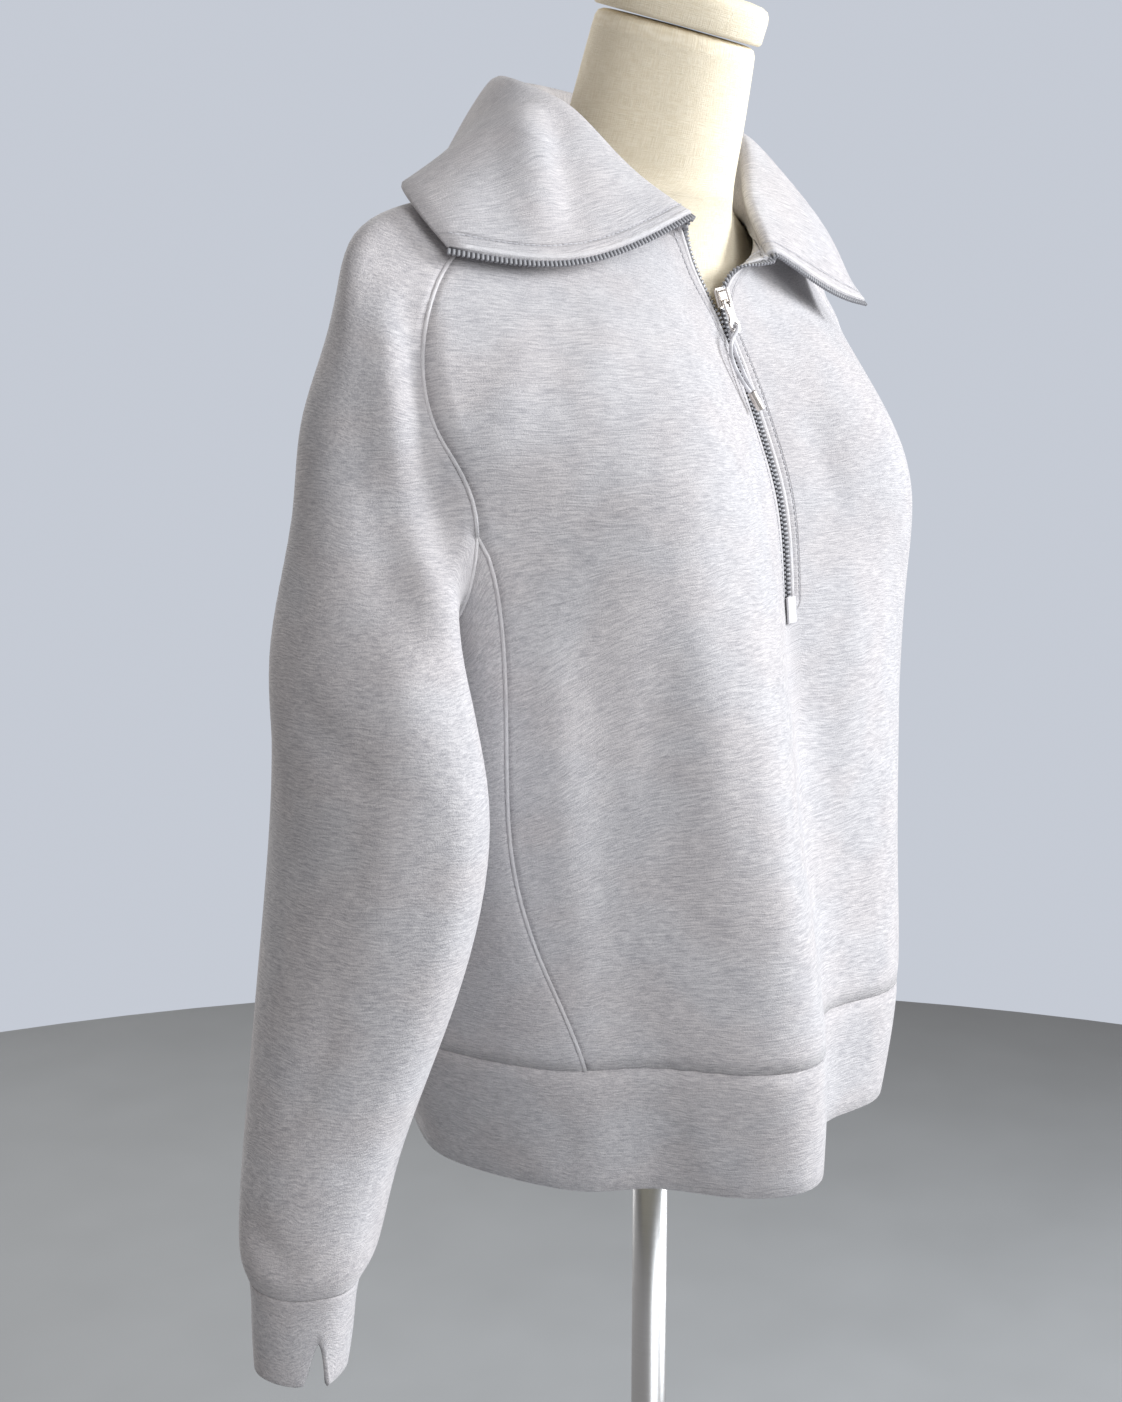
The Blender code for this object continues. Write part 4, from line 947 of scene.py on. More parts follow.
def seam_chains(first, second):
    """Every unbroken seam line between two panels, as lists of corners."""
    wanted, chains = {PANELS.index(first), PANELS.index(second)}, []
    left = {pair for pair, owners in edges_of.items() if len(owners) == 2 and set(owners) == wanted}
    while left:
        count = {}
        for a, b in left:
            count[a] = count.get(a, 0) + 1
            count[b] = count.get(b, 0) + 1
        ends = [v for v, n in count.items() if n == 1]
        chain = follow(left, ends[0] if ends else next(iter(left))[0])
        closed = not ends
        used = set(zip(chain, chain[1:])) | set(zip(chain[1:], chain))
        used |= {(chain[0], chain[-1]), (chain[-1], chain[0])} if closed else set()
        left = {pair for pair in left if pair not in used}
        chains.append((chain, closed))
    return chains


top_ring = len(BODY_SECTIONS) - 1
ends = {side: (cage.index[("body", top_ring, low)], cage.index[("collar", len(COLLAR_ROWS), high)])
        for side, low, high in (("right", 0, 0), ("left", BODY_COLUMNS, YOKE_COLUMNS))}
zip_edge = {side: follow(free, ends[side][0], ends[side][1], avoid=(ends[other][0],))
            for side, other in (("right", "left"), ("left", "right"))}
print("zip edges:", {side: len(chain) for side, chain in zip_edge.items()}, "free edges:", len(free))

# %% [markdown]
# ## Panels
#
# Each panel is cut out of the garment and gets its wall: an outer face, an inner face and a
# rounded rim. The cloth dips a little at its seams, as sewn cloth does, and neighbours stay a
# hair apart.

# %% Build the panels
SEAM_DIP = 0.0005            # how far the cloth dips at a seam
RIM_ROUND = 0.45             # how far a rim bulges, as a share of the wall

SEAM_SHARE = 0.6             # share of the seam's gap that each neighbour gives way

near_edge = np.minimum(nearest_on_line(garment.co, garment.co[zip_edge["right"]])[0],
                       nearest_on_line(garment.co, garment.co[zip_edge["left"]])[0])


def unit_rows(rows):
    """Each row made one long."""
    return rows / np.maximum(np.linalg.norm(rows, axis=1), 1e-9)[:, None]


def mesh_object(name, points, faces, material, uv=None, smooth=True):
    mesh = bpy.data.meshes.new(name)
    mesh.from_pydata([tuple(p) for p in points], [], [tuple(f) for f in faces])
    mesh.materials.append(material)
    mesh.polygons.foreach_set("use_smooth", [smooth] * len(mesh.polygons))
    if uv is not None:
        layer = mesh.uv_layers.new(name="UVMap")
        layer.data.foreach_set("uv", np.array(uv, float).ravel())
    mesh.update()
    return linked(name, mesh)


def panel_object(name, wall):
    """One panel with its wall. Returns the object and the area of its outer face."""
    mine = garment.panel == PANELS.index(name)
    faces, uv = garment.faces[mine], garment.uv[mine]
    used, local = np.unique(faces, return_inverse=True)
    local = local.reshape(-1, 4)
    co, normal = garment.co[used].copy(), garment.normal[used]
    centres = co[local].mean(axis=1)
    inwards = np.zeros_like(co)
    for k in range(4):
        np.add.at(inwards, local[:, k], centres - co[local[:, k]])
    inwards = unit_rows(inwards - normal * np.sum(inwards * normal, axis=1)[:, None])
    loops = np.stack([local, np.roll(local, -1, axis=1)], axis=2).reshape(-1, 2)
    counts = {}
    for a, b in np.sort(loops, axis=1).tolist():
        counts[(a, b)] = counts.get((a, b), 0) + 1
    rim = [number for number, (a, b) in enumerate(loops.tolist()) if counts[(min(a, b), max(a, b))] == 1]
    sewn = np.zeros(len(used), bool)
    for number in rim:
        a, b = loops[number]
        pair = (min(used[a], used[b]), max(used[a], used[b]))
        if len(edges_of[pair]) == 2:
            sewn[[a, b]] = True
    co[sewn] += inwards[sewn] * SEAM_GAP * SEAM_SHARE - normal[sewn] * SEAM_DIP
    inner = co - normal * wall
    size = len(used)
    points = [co, inner]
    polygons = local.tolist() + (local[:, ::-1] + size).tolist()
    flat_uv = [uv.reshape(-1, 2), uv[:, ::-1].reshape(-1, 2)]
    middle_of = {}
    middles = []
    for number in rim:
        for corner in loops[number].tolist():
            if corner not in middle_of:
                middle_of[corner] = 2 * size + len(middles)
                bulge = 0.0 if sewn[corner] else wall * RIM_ROUND
                middles.append((co[corner] + inner[corner]) / 2 - inwards[corner] * bulge)
    points.append(np.array(middles).reshape(-1, 3))
    uv_loops = np.stack([uv, np.roll(uv, -1, axis=1)], axis=2).reshape(-1, 2, 2)
    rim_uv = []
    for number in rim:
        a, b = loops[number].tolist()
        ua, ub = uv_loops[number]
        polygons.append([b, a, middle_of[a], middle_of[b]])
        polygons.append([middle_of[b], middle_of[a], a + size, b + size])
        rim_uv += [ub, ua, ua, ub] * 2
    all_uv = np.concatenate(flat_uv + [np.array(rim_uv).reshape(-1, 2)])
    thing = mesh_object(name + "_cloth", np.concatenate(points), polygons, KNIT, all_uv)
    attribute = thing.data.attributes.new("near_edge", "FLOAT", "POINT")
    away = near_edge[used]
    rims = np.array([away[corner] for corner in middle_of])
    attribute.data.foreach_set("value", np.concatenate([away, away, rims]).astype(np.float32))
    across = co[local[:, 2]] - co[local[:, 0]]
    other = co[local[:, 3]] - co[local[:, 1]]
    return thing, float(np.linalg.norm(np.cross(across, other), axis=1).sum() / 2)


cloth = {}
for name in PANELS:
    wall = DOUBLE if name in DOUBLE_PANELS else CLOTH
    cloth[name], area = panel_object(name, wall)
    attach(cloth[name], BODY)
    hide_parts(name)
    print(f"{name}: {len(cloth[name].data.polygons)} faces, {area:.3f} square metres")

# %% [markdown]
# ## Raised seams
#
# The raglan, armhole and side seams are raised narrow ribbons. Each ribbon is swept along its
# seam, with the corners' own normals, so it lies on the cloth wherever the cloth goes.

# %% Seam ribbons
RIBBON = (0.0023, 0.0007)    # width and height
RIBBON_SHAPE = ((-1.0, -0.5), (-0.85, 0.55), (0.0, 1.0), (0.85, 0.55), (1.0, -0.5), (0.0, -0.9))
RIBBON_SEAMS = [(middle + "_panel", beside + side) for beside in ("sleeve_", "side_panel_")
                for middle in ("front", "back") for side in ("right", "left")]
RIBBON_SEAMS += [("side_panel_" + side, "sleeve_" + side) for side in ("right", "left")]


def face_out(thing):
    """Turn every face of a closed mesh outwards."""
    work = bmesh.new()
    work.from_mesh(thing.data)
    bmesh.ops.recalc_face_normals(work, faces=work.faces)
    work.to_mesh(thing.data)
    work.free()
    return thing


def sweep(name, points, normals, closed, shape, size, material):
    """A ribbon or bar of one cross-section, swept along points. Its UVs hold metres."""
    points, normals = np.array(points), np.array(normals)
    if closed:
        along = unit_rows(np.roll(points, -1, axis=0) - np.roll(points, 1, axis=0))
    else:
        along = unit_rows(np.gradient(points, axis=0))
    side = unit_rows(np.cross(along, normals))
    up = np.cross(side, along)
    rings, sides = len(points), len(shape)
    verts = np.concatenate([[p + s * x * size[0] / 2 + n * y * size[1] for x, y in shape]
                            for p, s, n in zip(points, side, up)])
    lengths = np.concatenate([[0], np.cumsum(np.linalg.norm(np.diff(points, axis=0), axis=1))])
    faces, uv = [], []
    for ring in range(rings if closed else rings - 1):
        after = (ring + 1) % rings
        u0, u1 = lengths[ring], lengths[ring] + np.linalg.norm(points[after] - points[ring])
        for k in range(sides):
            nxt = (k + 1) % sides
            faces.append((ring * sides + k, ring * sides + nxt, after * sides + nxt, after * sides + k))
            v0, v1 = k * size[0] / 2, (k + 1) * size[0] / 2
            uv += [(u0, v0), (u0, v1), (u1, v1), (u1, v0)]
    if not closed:
        faces.append(tuple(reversed(range(sides))))
        faces.append(tuple((rings - 1) * sides + k for k in range(sides)))
        uv += [(0, 0)] * sides + [(lengths[-1], 0)] * sides
    return face_out(mesh_object(name, verts, faces, material, uv))


def joined(name, things):
    """Several plain mesh objects as one."""
    with bpy.context.temp_override(active_object=things[0], selected_editable_objects=things):
        bpy.ops.object.join()
    things[0].name = name
    return things[0]


ribbons = []
for first, second in RIBBON_SEAMS:
    for chain, closed in seam_chains(first, second):
        sink = garment.normal[chain] * SEAM_DIP
        ribbons.append(sweep("ribbon", garment.co[chain] - sink, garment.normal[chain], closed,
                             RIBBON_SHAPE, RIBBON, LIT_KNIT))
seams = joined("seam_ribbons", ribbons)
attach(seams, BODY)
print("seam ribbons:", len(ribbons), "runs")

# %% [markdown]
# ## A row of small things
#
# One Geometry Nodes group makes every row: it resamples a path, sets a unit on each point, stands
# it on the path's own `up` vectors, and realizes the copies. The result is kept as a plain mesh.

# %% Geometry Nodes: row of units
ROW_INPUTS = dict(Path="Geometry", Unit="Object", Spacing="Float", Jitter="Float", Seed="Int",
                  Material="Material")
ROW_NODES = dict(
    given=("NodeGroupInput", {}),
    result=("NodeGroupOutput", {}),
    curve=("GeometryNodeMeshToCurve", {}),
    resample=("GeometryNodeResampleCurve", {"mode": "LENGTH"}),
    up=("GeometryNodeInputNamedAttribute", {"data_type": "FLOAT_VECTOR"}),
    tangent=("GeometryNodeInputTangent", {}),
    turn=("FunctionNodeAxesToRotation", {"primary_axis": "Z", "secondary_axis": "X"}),
    unit=("GeometryNodeObjectInfo", {}),
    place=("GeometryNodeInstanceOnPoints", {}),
    jitter=("FunctionNodeRandomValue", {"data_type": "FLOAT_VECTOR"}),
    spread=("ShaderNodeVectorMath", {"operation": "SCALE"}),
    centre=("ShaderNodeVectorMath", {"operation": "SUBTRACT"}),
    shift=("GeometryNodeTranslateInstances", {}),
    realize=("GeometryNodeRealizeInstances", {}),
    paint=("GeometryNodeSetMaterial", {}),
)
# From a node's output to a node's input
ROW_LINKS = (
    ("given", "Path", "curve", 0), ("curve", 0, "resample", "Curve"),
    ("given", "Spacing", "resample", "Length"), ("resample", 0, "place", "Points"),
    ("given", "Unit", "unit", "Object"), ("unit", "Geometry", "place", "Instance"),
    ("up", "Attribute", "turn", 0), ("tangent", 0, "turn", 1), ("turn", 0, "place", "Rotation"),
    ("given", "Seed", "jitter", "Seed"), ("jitter", "Value", "centre", 0), ("centre", 0, "spread", 0),
    ("given", "Jitter", "spread", "Scale"), ("place", 0, "shift", "Instances"),
    ("spread", 0, "shift", "Translation"), ("shift", 0, "realize", 0), ("realize", 0, "paint", "Geometry"),
    ("given", "Material", "paint", "Material"), ("paint", 0, "result", "Row"),
)


def row_group():
    tree = bpy.data.node_groups.new("row_of_units", "GeometryNodeTree")
    for name, kind in ROW_INPUTS.items():
        tree.interface.new_socket(name, in_out="INPUT", socket_type="NodeSocket" + kind)
    tree.interface.new_socket("Row", in_out="OUTPUT", socket_type="NodeSocketGeometry")
    nodes = {}
    for name, (kind, settings) in ROW_NODES.items():
        nodes[name] = tree.nodes.new(kind)
        for setting, value in settings.items():
            setattr(nodes[name], setting, value)
    nodes["up"].inputs["Name"].default_value = "up"
    nodes["centre"].inputs[1].default_value = (0.5, 0.5, 0.5)
    for start, output, end, socket in ROW_LINKS:
        tree.links.new(nodes[start].outputs[output], nodes[end].inputs[socket])
    return tree


ROW = row_group()


def baked(thing):
    """The same object with its modifiers applied, as a plain mesh."""
    finished = evaluated(thing)
    thing.modifiers.clear()
    thing.data = finished
    return thing


def row(name, points, ups, unit, spacing, material, jitter=0.0, seed=1):
    """A row of units along a path, as one plain mesh object."""
    path = bpy.data.meshes.new(name)
    path.from_pydata([tuple(p) for p in points], [(k, k + 1) for k in range(len(points) - 1)], [])
    path.attributes.new("up", "FLOAT_VECTOR", "POINT").data.foreach_set("vector", np.array(ups).ravel())
    thing = linked(name, path)
    modifier = thing.modifiers.new("row", "NODES")
    modifier.node_group = ROW
    values = {"Unit": unit, "Spacing": spacing, "Jitter": jitter, "Seed": seed, "Material": material}
    for item in ROW.interface.items_tree:
        if item.name in values:
            modifier[item.identifier] = values[item.name]
    return baked(thing)


def unit_bar(name, size, rounding):
    """A small rounded bar, sized along the row, across it and upwards."""
    work = bmesh.new()
    bmesh.ops.create_cube(work, size=1.0)
    bmesh.ops.scale(work, vec=size, verts=work.verts)
    bmesh.ops.bevel(work, geom=work.edges, offset=rounding, segments=2, profile=0.5, affect="EDGES")
    mesh = bpy.data.meshes.new(name)
    work.to_mesh(mesh)
    work.free()
    mesh.polygons.foreach_set("use_smooth", [True] * len(mesh.polygons))
    return linked(name, mesh)


print("row group:", len(ROW.nodes), "nodes,", len(ROW.links), "links")

# %% [markdown]
# ## The zip
#
# Each half of the zip is a woven tape under the cloth's edge, a folded lip of cloth beside it, and
# a row of teeth. Where the zip is closed, the two rows meet in the middle and interlock.

# %% Zip tapes and teeth
TOOTH = (0.00150, 0.0031, 0.0019)    # size along the row, across it and upwards
TOOTH_ROUND = 0.00035
TOOTH_RISE = 0.0009          # rise of the teeth above the wall's middle, where the zip is closed
TOOTH_PITCH = 0.00255
TOOTH_OUT = 0.0023           # from the cloth's edge to a tooth's middle, at most
TOOTH_CLEAR = 0.0009         # from the zip's middle line to a tooth's middle, at least
CLOSED, CLOSING = 1.8, 0.6   # the zip is open past this many slots' width, and closes over that many
TAPE_SIZE = (0.0042, 0.0003)
TAPE_OUT = 0.35              # the tape's middle, as a share of the way to the teeth
TAPE_SHAPE = ((-1.0, -1.0), (-1.0, 1.0), (1.0, 1.0), (1.0, -1.0))
LIP = (0.0030, 0.0005)       # the folded lip of cloth along the zip, width and height
LIP_SINK, LIP_OUT = 0.0002, 0.0003   # how far it sinks into the cloth and stands past the edge


def edge_wall(side):
    """The cloth's wall along a zip edge: single on the front panel, double on the collar."""
    chain = np.array(zip_edge[side])
    collar = garment.corners_of("collar")[chain].astype(float)
    return CLOTH + (DOUBLE - CLOTH) * np.convolve(np.pad(collar, 2, mode="edge"), np.ones(5) / 5, "valid")


def edge_frames(side):
    """The middle of a cloth edge's wall, the direction away from the cloth, and the normals."""
    chain = zip_edge[side]
    here = garment.co[chain] - garment.normal[chain] * edge_wall(side)[:, None] / 2
    normal = garment.normal[chain]
    outwards = unit_rows(np.cross(unit_rows(np.gradient(here, axis=0)), normal))
    middle = len(chain) // 2
    beside = garment.faces[np.any(garment.faces == chain[middle], axis=1)]
    inwards = garment.co[beside].mean(axis=(0, 1)) - here[middle]
    if inwards @ outwards[middle] > 0:
        outwards = -outwards
    return here, outwards, normal


zip_frames = {side: edge_frames(side) for side in zip_edge}
tooth = unit_bar("tooth", TOOTH, TOOTH_ROUND)
zip_teeth = {}
for side, other in (("right", "left"), ("left", "right")):
    here, outwards, normal = zip_frames[side]
    opposite = zip_frames[other][0]
    apart = np.linalg.norm(opposite - here, axis=1)
    out = np.minimum(TOOTH_OUT, apart / 2 - TOOTH_CLEAR)[:, None]
    line = here + outwards * out
    late = 0.0 if side == "right" else 0.5       # the left row starts half a tooth later
    first = line[0] + (line[1] - line[0]) * late * TOOTH_PITCH / np.linalg.norm(line[1] - line[0])
    closed = np.clip((ZIP_SLOT * CLOSED - apart) / (ZIP_SLOT * CLOSING), 0, 1)[:, None]
    line = np.concatenate([[first], line[1:]]) + normal * TOOTH_RISE * closed
    zip_teeth[side] = row("zip_teeth_" + side, line, normal, tooth, TOOTH_PITCH, TEETH)
    tape = sweep("zip_tape_cloth_" + side, here + outwards * (out * TAPE_OUT), normal, False, TAPE_SHAPE,
                 TAPE_SIZE, TAPE)
    half_wall = edge_wall(side)[:, None] / 2 - LIP_SINK
    lip_line = here - outwards * (LIP[0] / 2 - LIP_OUT)
    lips = [sweep("lip", lip_line + normal * half_wall * way, normal * way, False, RIBBON_SHAPE, LIP,
                  LIT_KNIT) for way in (1, -1)]
    lip = joined("zip_lip_" + side, lips)
    for thing in (zip_teeth[side], tape, lip):
        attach(thing, BODY)
    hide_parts("zip_tape_" + side)
bpy.data.objects.remove(tooth)
print("teeth faces:", {side: len(thing.data.polygons) for side, thing in zip_teeth.items()})

# %% [markdown]
# ## Top stitching
#
# A line of stitches lies a little in from each cloth edge of the zip, in the groove that the knit
# material draws there. Each point is moved in from the edge and set back onto the cloth.

# %% Stitches
STITCH = (0.0024, 0.00045, 0.0004)   # size along the row, across it and upwards
STITCH_ROUND = 0.00018
STITCH_PITCH = 0.0032
STITCH_RISE = 0.0002         # from the cloth to a stitch's middle
STITCH_JITTER = 0.00015


def on_cloth(points, *names):
    """The nearest point and normal on the outer face of these panels."""
    tree = BVHTree.FromPolygons(garment.co.tolist(), garment.faces[garment.faces_of(*names)].tolist())
    found = [tree.find_nearest(Vector(p)) for p in points]
    return np.array([hit[0] for hit in found]), np.array([hit[1] for hit in found])


stitch = unit_bar("stitch", STITCH, STITCH_ROUND)
for side in ("right", "left"):
    here, outwards, normal = zip_frames[side]
    placed, up = on_cloth(here - outwards * STITCH_IN, "front_panel", "collar")
    up *= np.sign(np.sum(up * normal, axis=1))[:, None]
    wall = edge_wall(side)[:, None]
    faces = ((placed + up * STITCH_RISE, up, 3), (placed - up * (wall + STITCH_RISE), -up, 4))
    runs = [row("run", line, out, stitch, STITCH_PITCH, THREAD, STITCH_JITTER, seed)
            for line, out, seed in faces]
    run = joined("top_stitches_" + side, runs)
    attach(run, BODY)
bpy.data.objects.remove(stitch)
print("top stitching on both sides")

# %% [markdown]
# ## Patch, slider, pull tab and cord
#
# The hard pieces keep the packed shapes, with rounded edges. The cord's two strands leave the
# tab's ring and end in the metal tip.

# %% Hard pieces and the cord
TAB_LEAN = 17.497            # degrees that the pull tab hangs out from straight down
CORD = 0.0022                # thickness of the pull cord
CORD_ROUTE = (
    (0.0174, 0.0529, 0.0056), (0.0186, 0.0508, 0.0053), (0.0202, 0.0462, 0.0046), (0.0213, 0.0409, 0.0040),
    (0.0215, 0.0355, 0.0035), (0.0205, 0.0302, 0.0032), (0.0177, 0.0256, 0.0032), (0.0132, 0.0220, 0.0033),
    (0.0078, 0.0192, 0.0035), (0.0026, 0.0169, 0.0027), (0.0000, 0.0152, 0.0000), (0.0003, 0.0163, -0.0023),
    (0.0022, 0.0188, -0.0029), (0.0050, 0.0226, -0.0020), (0.0080, 0.0272, -0.0004), (0.0105, 0.0325, 0.0010),
    (0.0124, 0.0385, 0.0024), (0.0136, 0.0440, 0.0036), (0.0147, 0.0485, 0.0048), (0.0149, 0.0520, 0.0056),
)
RING_POINT = 10              # the point of the route that lies in the tab's ring
CORD_SIDES = 12
CORD_STEPS = 6               # steps of a strand between two points of the route


def rounded(node, material, width, segments=2):
    """A packed node as it is, with a material and rounded edges."""
    thing = frame["nodes"][node]
    thing.data.materials.clear()
    thing.data.materials.append(material)
    bevel = thing.modifiers.new("rounded", "BEVEL")
    bevel.width = width
    bevel.segments = segments
    bevel.limit_method = "ANGLE"
    bevel.angle_limit = math.radians(30)


def turns(sides):
    """The angles of a polygon's corners, in radians."""
    return [2 * math.pi * k / sides for k in range(sides)]


def tube(name, points, radius, material):
    """A round cord along points, with metres and a share of the turn in its UV map."""
    shape = [(math.cos(turn), math.sin(turn)) for turn in turns(CORD_SIDES)]
    along = np.gradient(np.array(points), axis=0)
    up = np.array([(0.0, 0.0, 1.0)] * len(points))
    flat = np.abs(along @ np.array([0.0, 0.0, 1.0])) > 0.98 * np.linalg.norm(along, axis=1)
    up[flat] = (0.0, 1.0, 0.0)
    return sweep(name, points, up, False, shape, (2 * radius, radius), material)


for node, material, width in (("zip_slider", SILVER, 0.0004), ("zip_pull_tab", SILVER, 0.0003),
                              ("cord_tip", SILVER, 0.0003), ("zip_end_patch", LIT_KNIT, 0.0004)):
    rounded(node, material, width)

# The puller's own axes: across along its hinge, down along the tab, and out from the cloth
hinge = frame["joints"][0]
across = Vector(hinge["axis"]).normalized()
down = (across * across.z - Vector((0, 0, 1))).normalized()
down.rotate(Matrix.Rotation(math.radians(TAB_LEAN), 3, across))
puller = Matrix((across, down, across.cross(down))).transposed().to_4x4()
puller.translation = hinge["pos_m"]

keys = list(enumerate(CORD_ROUTE))
strands = {"pull_cord_front": (RING_POINT, 0), "pull_cord_back": (RING_POINT, len(CORD_ROUTE) - 1)}
for name, (start, stop) in strands.items():
    count = abs(stop - start) * CORD_STEPS
    local = [through(keys, start + (stop - start) * k / count) for k in range(count + 1)]
    path = [puller @ Vector(point) for point in local]
    strand = tube(name, [tuple(p) for p in path], CORD / 2, BRAID)
    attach(strand, PULLER)
    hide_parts("pull_cord")

# %% [markdown]
# ## The form and its stand
#
# The form is a smooth surface through its own sections. The cap, the pole and the base are turned
# from profiles.

# %% Form and stand
FORM_SECTIONS = table(
    "z half front back middle lean neck",
    (0.885, 0.146, 0.082, 0.086, 0.000, 0),
    (0.893, 0.152, 0.088, 0.092, 0.000, 0),
    (0.950, 0.150, 0.088, 0.094, 0.000, 0),
    (1.040, 0.142, 0.082, 0.088, 0.002, 0),
    (1.120, 0.150, 0.082, 0.094, 0.004, 0),
    (1.190, 0.164, 0.084, 0.098, 0.006, 0),
    (1.245, 0.174, 0.080, 0.096, 0.008, 0),
    (1.298, 0.186, 0.068, 0.090, 0.014, 0),
    (1.336, 0.190, 0.060, 0.080, 0.020, 0),
    (1.361, 0.182, 0.054, 0.066, 0.024, 0, (0.0530, 0.0150)),
    (1.379, 0.160, 0.050, 0.060, 0.026, 0, (0.0530, 0.0135)),
    (1.395, 0.124, 0.049, 0.054, 0.025, 0, (0.0528, 0.0125)),
    (1.405, 0.088, 0.048, 0.051, 0.022, 2, (0.0524, 0.0120)),
    (1.412, 0.060, 0.050, 0.051, 0.016, 5, (0.0522, 0.0115)),
    (1.424, 0.0522, 0.0515, 0.0515, 0.010, 9),
    (1.453, 0.0505, 0.0505, 0.0505, 0.002, 13),
    (1.5025, 0.0465, 0.0465, 0.0465, -0.011, 18),
)

# Profiles of the turned pieces: radius and height, from the foot up
CAP_PROFILE = ((0.0470, 0.0), (0.0481, 0.0006), (0.0487, 0.002), (0.0490, 0.013), (0.0486, 0.0160),
               (0.0472, 0.0186), (0.0440, 0.0202), (0.0380, 0.0212), (0.0010, 0.0220))
POLE_PROFILE = ((0.0110, 0.0343), (0.0110, 0.8845))
BASE_PROFILE = ((0.179, 0.0), (0.1800, 0.0015), (0.1800, 0.0040), (0.1785, 0.0065), (0.1740, 0.0082),
                (0.1500, 0.0110), (0.0260, 0.0150), (0.0235, 0.0170), (0.0230, 0.0310),
                (0.0215, 0.0333), (0.0190, 0.0340))
FORM_SIDES = 32
TIGHT = 0.06                 # where a ring holds the form's edges sharp, as a share of the next section
NECK_BLEND = 18              # how sharply the neck meets the shoulders: higher is sharper


def form_ring(section):
    lean = math.radians(section["lean"])
    ring = []
    for turn in turns(FORM_SIDES):
        depth = section["front"] if math.cos(turn) > 0 else section["back"]
        ahead = depth * math.cos(turn)
        x, y = -section["half"] * math.sin(turn), section["middle"] - ahead * math.cos(lean)
        if "neck" in section:
            radius, middle = section["neck"]
            grow = (1 + (radius / math.hypot(x, y - middle)) ** NECK_BLEND) ** (1 / NECK_BLEND)
            x, y = x * grow, middle + (y - middle) * grow
        ring.append((x, y, section["z"] - ahead * math.sin(lean)))
    return ring


def ring_mesh(name, rings, material, cap=True):
    """A closed skin over rings of points, with metres in its UV map."""
    sides = len(rings[0])
    points = [p for ring in rings for p in ring]
    faces, uv, low = [], [], 0.0
    for r in range(len(rings) - 1):
        rise = sum((Vector(a) - Vector(b)).length for a, b in zip(rings[r], rings[r + 1])) / sides
        width = sum((Vector(a) - Vector(b)).length for a, b in zip(rings[r], rings[r][1:])) / sides
        for k in range(sides):
            nxt = (k + 1) % sides
            faces.append((r * sides + k, r * sides + nxt, (r + 1) * sides + nxt, (r + 1) * sides + k))
            u0, u1 = k * width, (k + 1) * width
            uv += [(u0, low), (u1, low), (u1, low + rise), (u0, low + rise)]
        low += rise
    if cap:
        faces.append(tuple(reversed(range(sides))))
        faces.append(tuple((len(rings) - 1) * sides + k for k in range(sides)))
        uv += [(p[0], p[1]) for p in reversed(rings[0])] + [(p[0], p[1]) for p in rings[-1]]
    return face_out(mesh_object(name, points, faces, material, uv))


def turned(name, profile, material, frame_of=Matrix.Identity(4), sides=96):
    """A round solid from a profile of (radius, height), from its foot up."""
    corners = [(math.cos(turn), math.sin(turn)) for turn in turns(sides)]
    rings = [[tuple(frame_of @ Vector((radius * x, radius * y, height))) for x, y in corners]
             for radius, height in profile]
    return ring_mesh(name, rings, material)


def smoothed(thing, levels):
    """The same object with its surface smoothed and kept as a plain mesh."""
    modifier = thing.modifiers.new("smooth", "SUBSURF")
    modifier.levels = modifier.render_levels = levels
    return baked(thing)


rings = [form_ring(section) for section in FORM_SECTIONS]
tight = [[tuple(Vector(a).lerp(Vector(b), TIGHT)) for a, b in zip(one, two)]
         for one, two in ((rings[0], rings[1]), (rings[-1], rings[-2]))]
rings = [rings[0], tight[0]] + rings[1:-1] + [tight[1], rings[-1]]
form = smoothed(ring_mesh("dress_form", rings, LINEN), 2)
top = FORM_SECTIONS[-1]
lean = Matrix.Rotation(math.radians(top["lean"]), 4, "X")
lean = Matrix.Translation((0, top["middle"], top["z"] + SEAM_GAP)) @ lean
cap = turned("neck_cap", CAP_PROFILE, LINEN, lean)
pole = turned("pole", POLE_PROFILE, STEEL)
base = turned("round_base", BASE_PROFILE, STEEL)
for thing, node, name in ((form, "form_body", "linen"), (cap, "form_neck_cap", "linen"),
                          (pole, "stand_pole", "brushed_steel"), (base, "stand_base", "brushed_steel")):
    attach(thing, BODY)
    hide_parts(node)
print("form:", len(form.data.polygons), "faces")

# %% [markdown]
# ## Floor and light
#
# A plain pale floor that ends behind the form, a pale wall colour all round, and soft studio light:
# a large soft key from the front and above, a weaker one from the other side, and one behind.

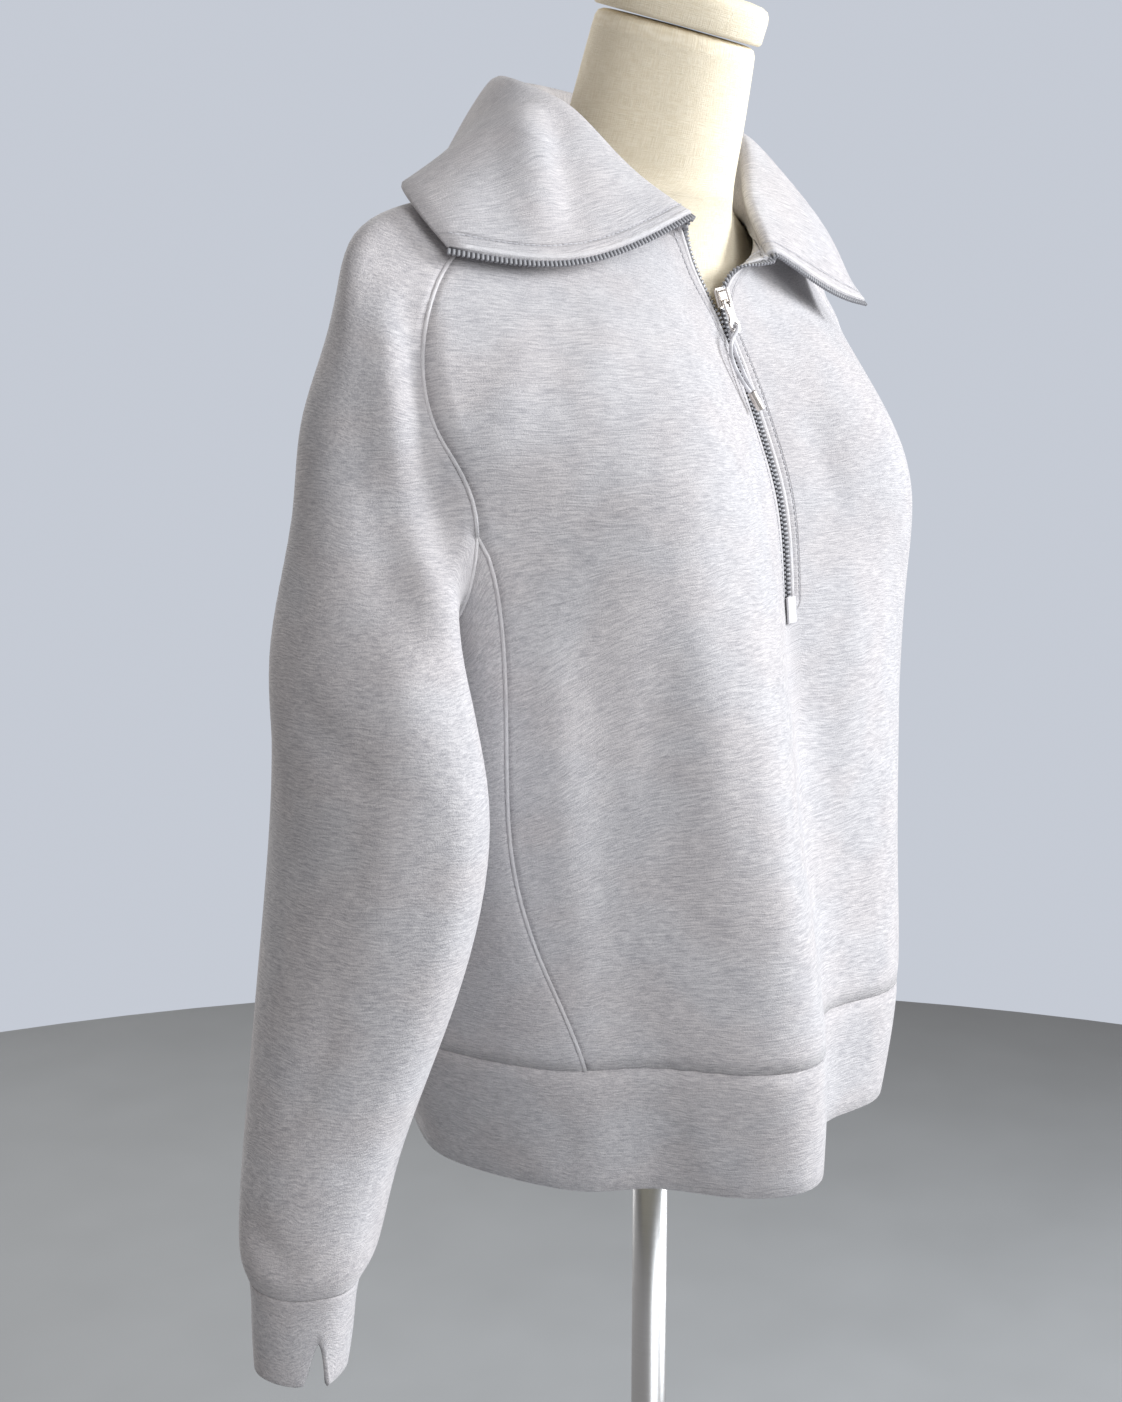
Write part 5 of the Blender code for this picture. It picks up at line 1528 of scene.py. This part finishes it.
# %% Floor, world and lights
FLOOR_RADIUS = 2.75
WALL_COLOUR = (0.66, 0.70, 0.78, 1.0)
GLOW_COLOUR = (0.80, 0.77, 0.76, 1.0)
WALL_LIGHT, GLOW_LIGHT = 0.85, 0.46
FLOOR_COLOUR = (0.36, 0.38, 0.40)

floor = turned("floor", [(FLOOR_RADIUS, -0.02), (FLOOR_RADIUS, 0.0)],
               plain("floor", FLOOR_COLOUR, 0.75, grain=6.0, depth=0.001), sides=128)
world = bpy.data.worlds.new("studio")
bpy.context.scene.world = world
world.use_nodes = True
tree = world.node_tree
wall = tree.nodes["Background"]          # what the camera sees
wall.inputs["Color"].default_value = WALL_COLOUR
wall.inputs["Strength"].default_value = WALL_LIGHT
glow = tree.nodes.new("ShaderNodeBackground")      # what lights the cloth
glow.inputs["Color"].default_value = GLOW_COLOUR
glow.inputs["Strength"].default_value = GLOW_LIGHT
either = tree.nodes.new("ShaderNodeMixShader")
tree.links.new(tree.nodes.new("ShaderNodeLightPath").outputs["Is Camera Ray"], either.inputs[0])
tree.links.new(glow.outputs[0], either.inputs[1])
tree.links.new(wall.outputs[0], either.inputs[2])
tree.links.new(either.outputs[0], tree.nodes["World Output"].inputs["Surface"])

LIGHTS = table(
    "name place size power colour",
    ("key", (1.85, -1.85, 2.00), 1.1, 100, (0.96, 0.98, 1.0)),
    ("fill", (-0.9, -2.8, 2.3), 2.0, 55, (0.96, 0.98, 1.0)),
    ("back", (1.0, 2.7, 2.4), 1.8, 55, (1.0, 0.99, 0.97)),
)
TARGET = Vector((0, 0, 1.2))
for light in LIGHTS:
    data = bpy.data.lights.new(light["name"], "AREA")
    data.size = light["size"]
    data.energy = light["power"]
    data.color = light["colour"]
    thing = linked(light["name"], data)
    thing.location = light["place"]
    thing.rotation_mode = "QUATERNION"
    thing.rotation_quaternion = (TARGET - thing.location).to_track_quat("-Z", "Y")
bpy.context.scene.view_settings.view_transform = "Standard"
print("lights:", [light["name"] for light in LIGHTS])

# %% [markdown]

# %% [markdown]
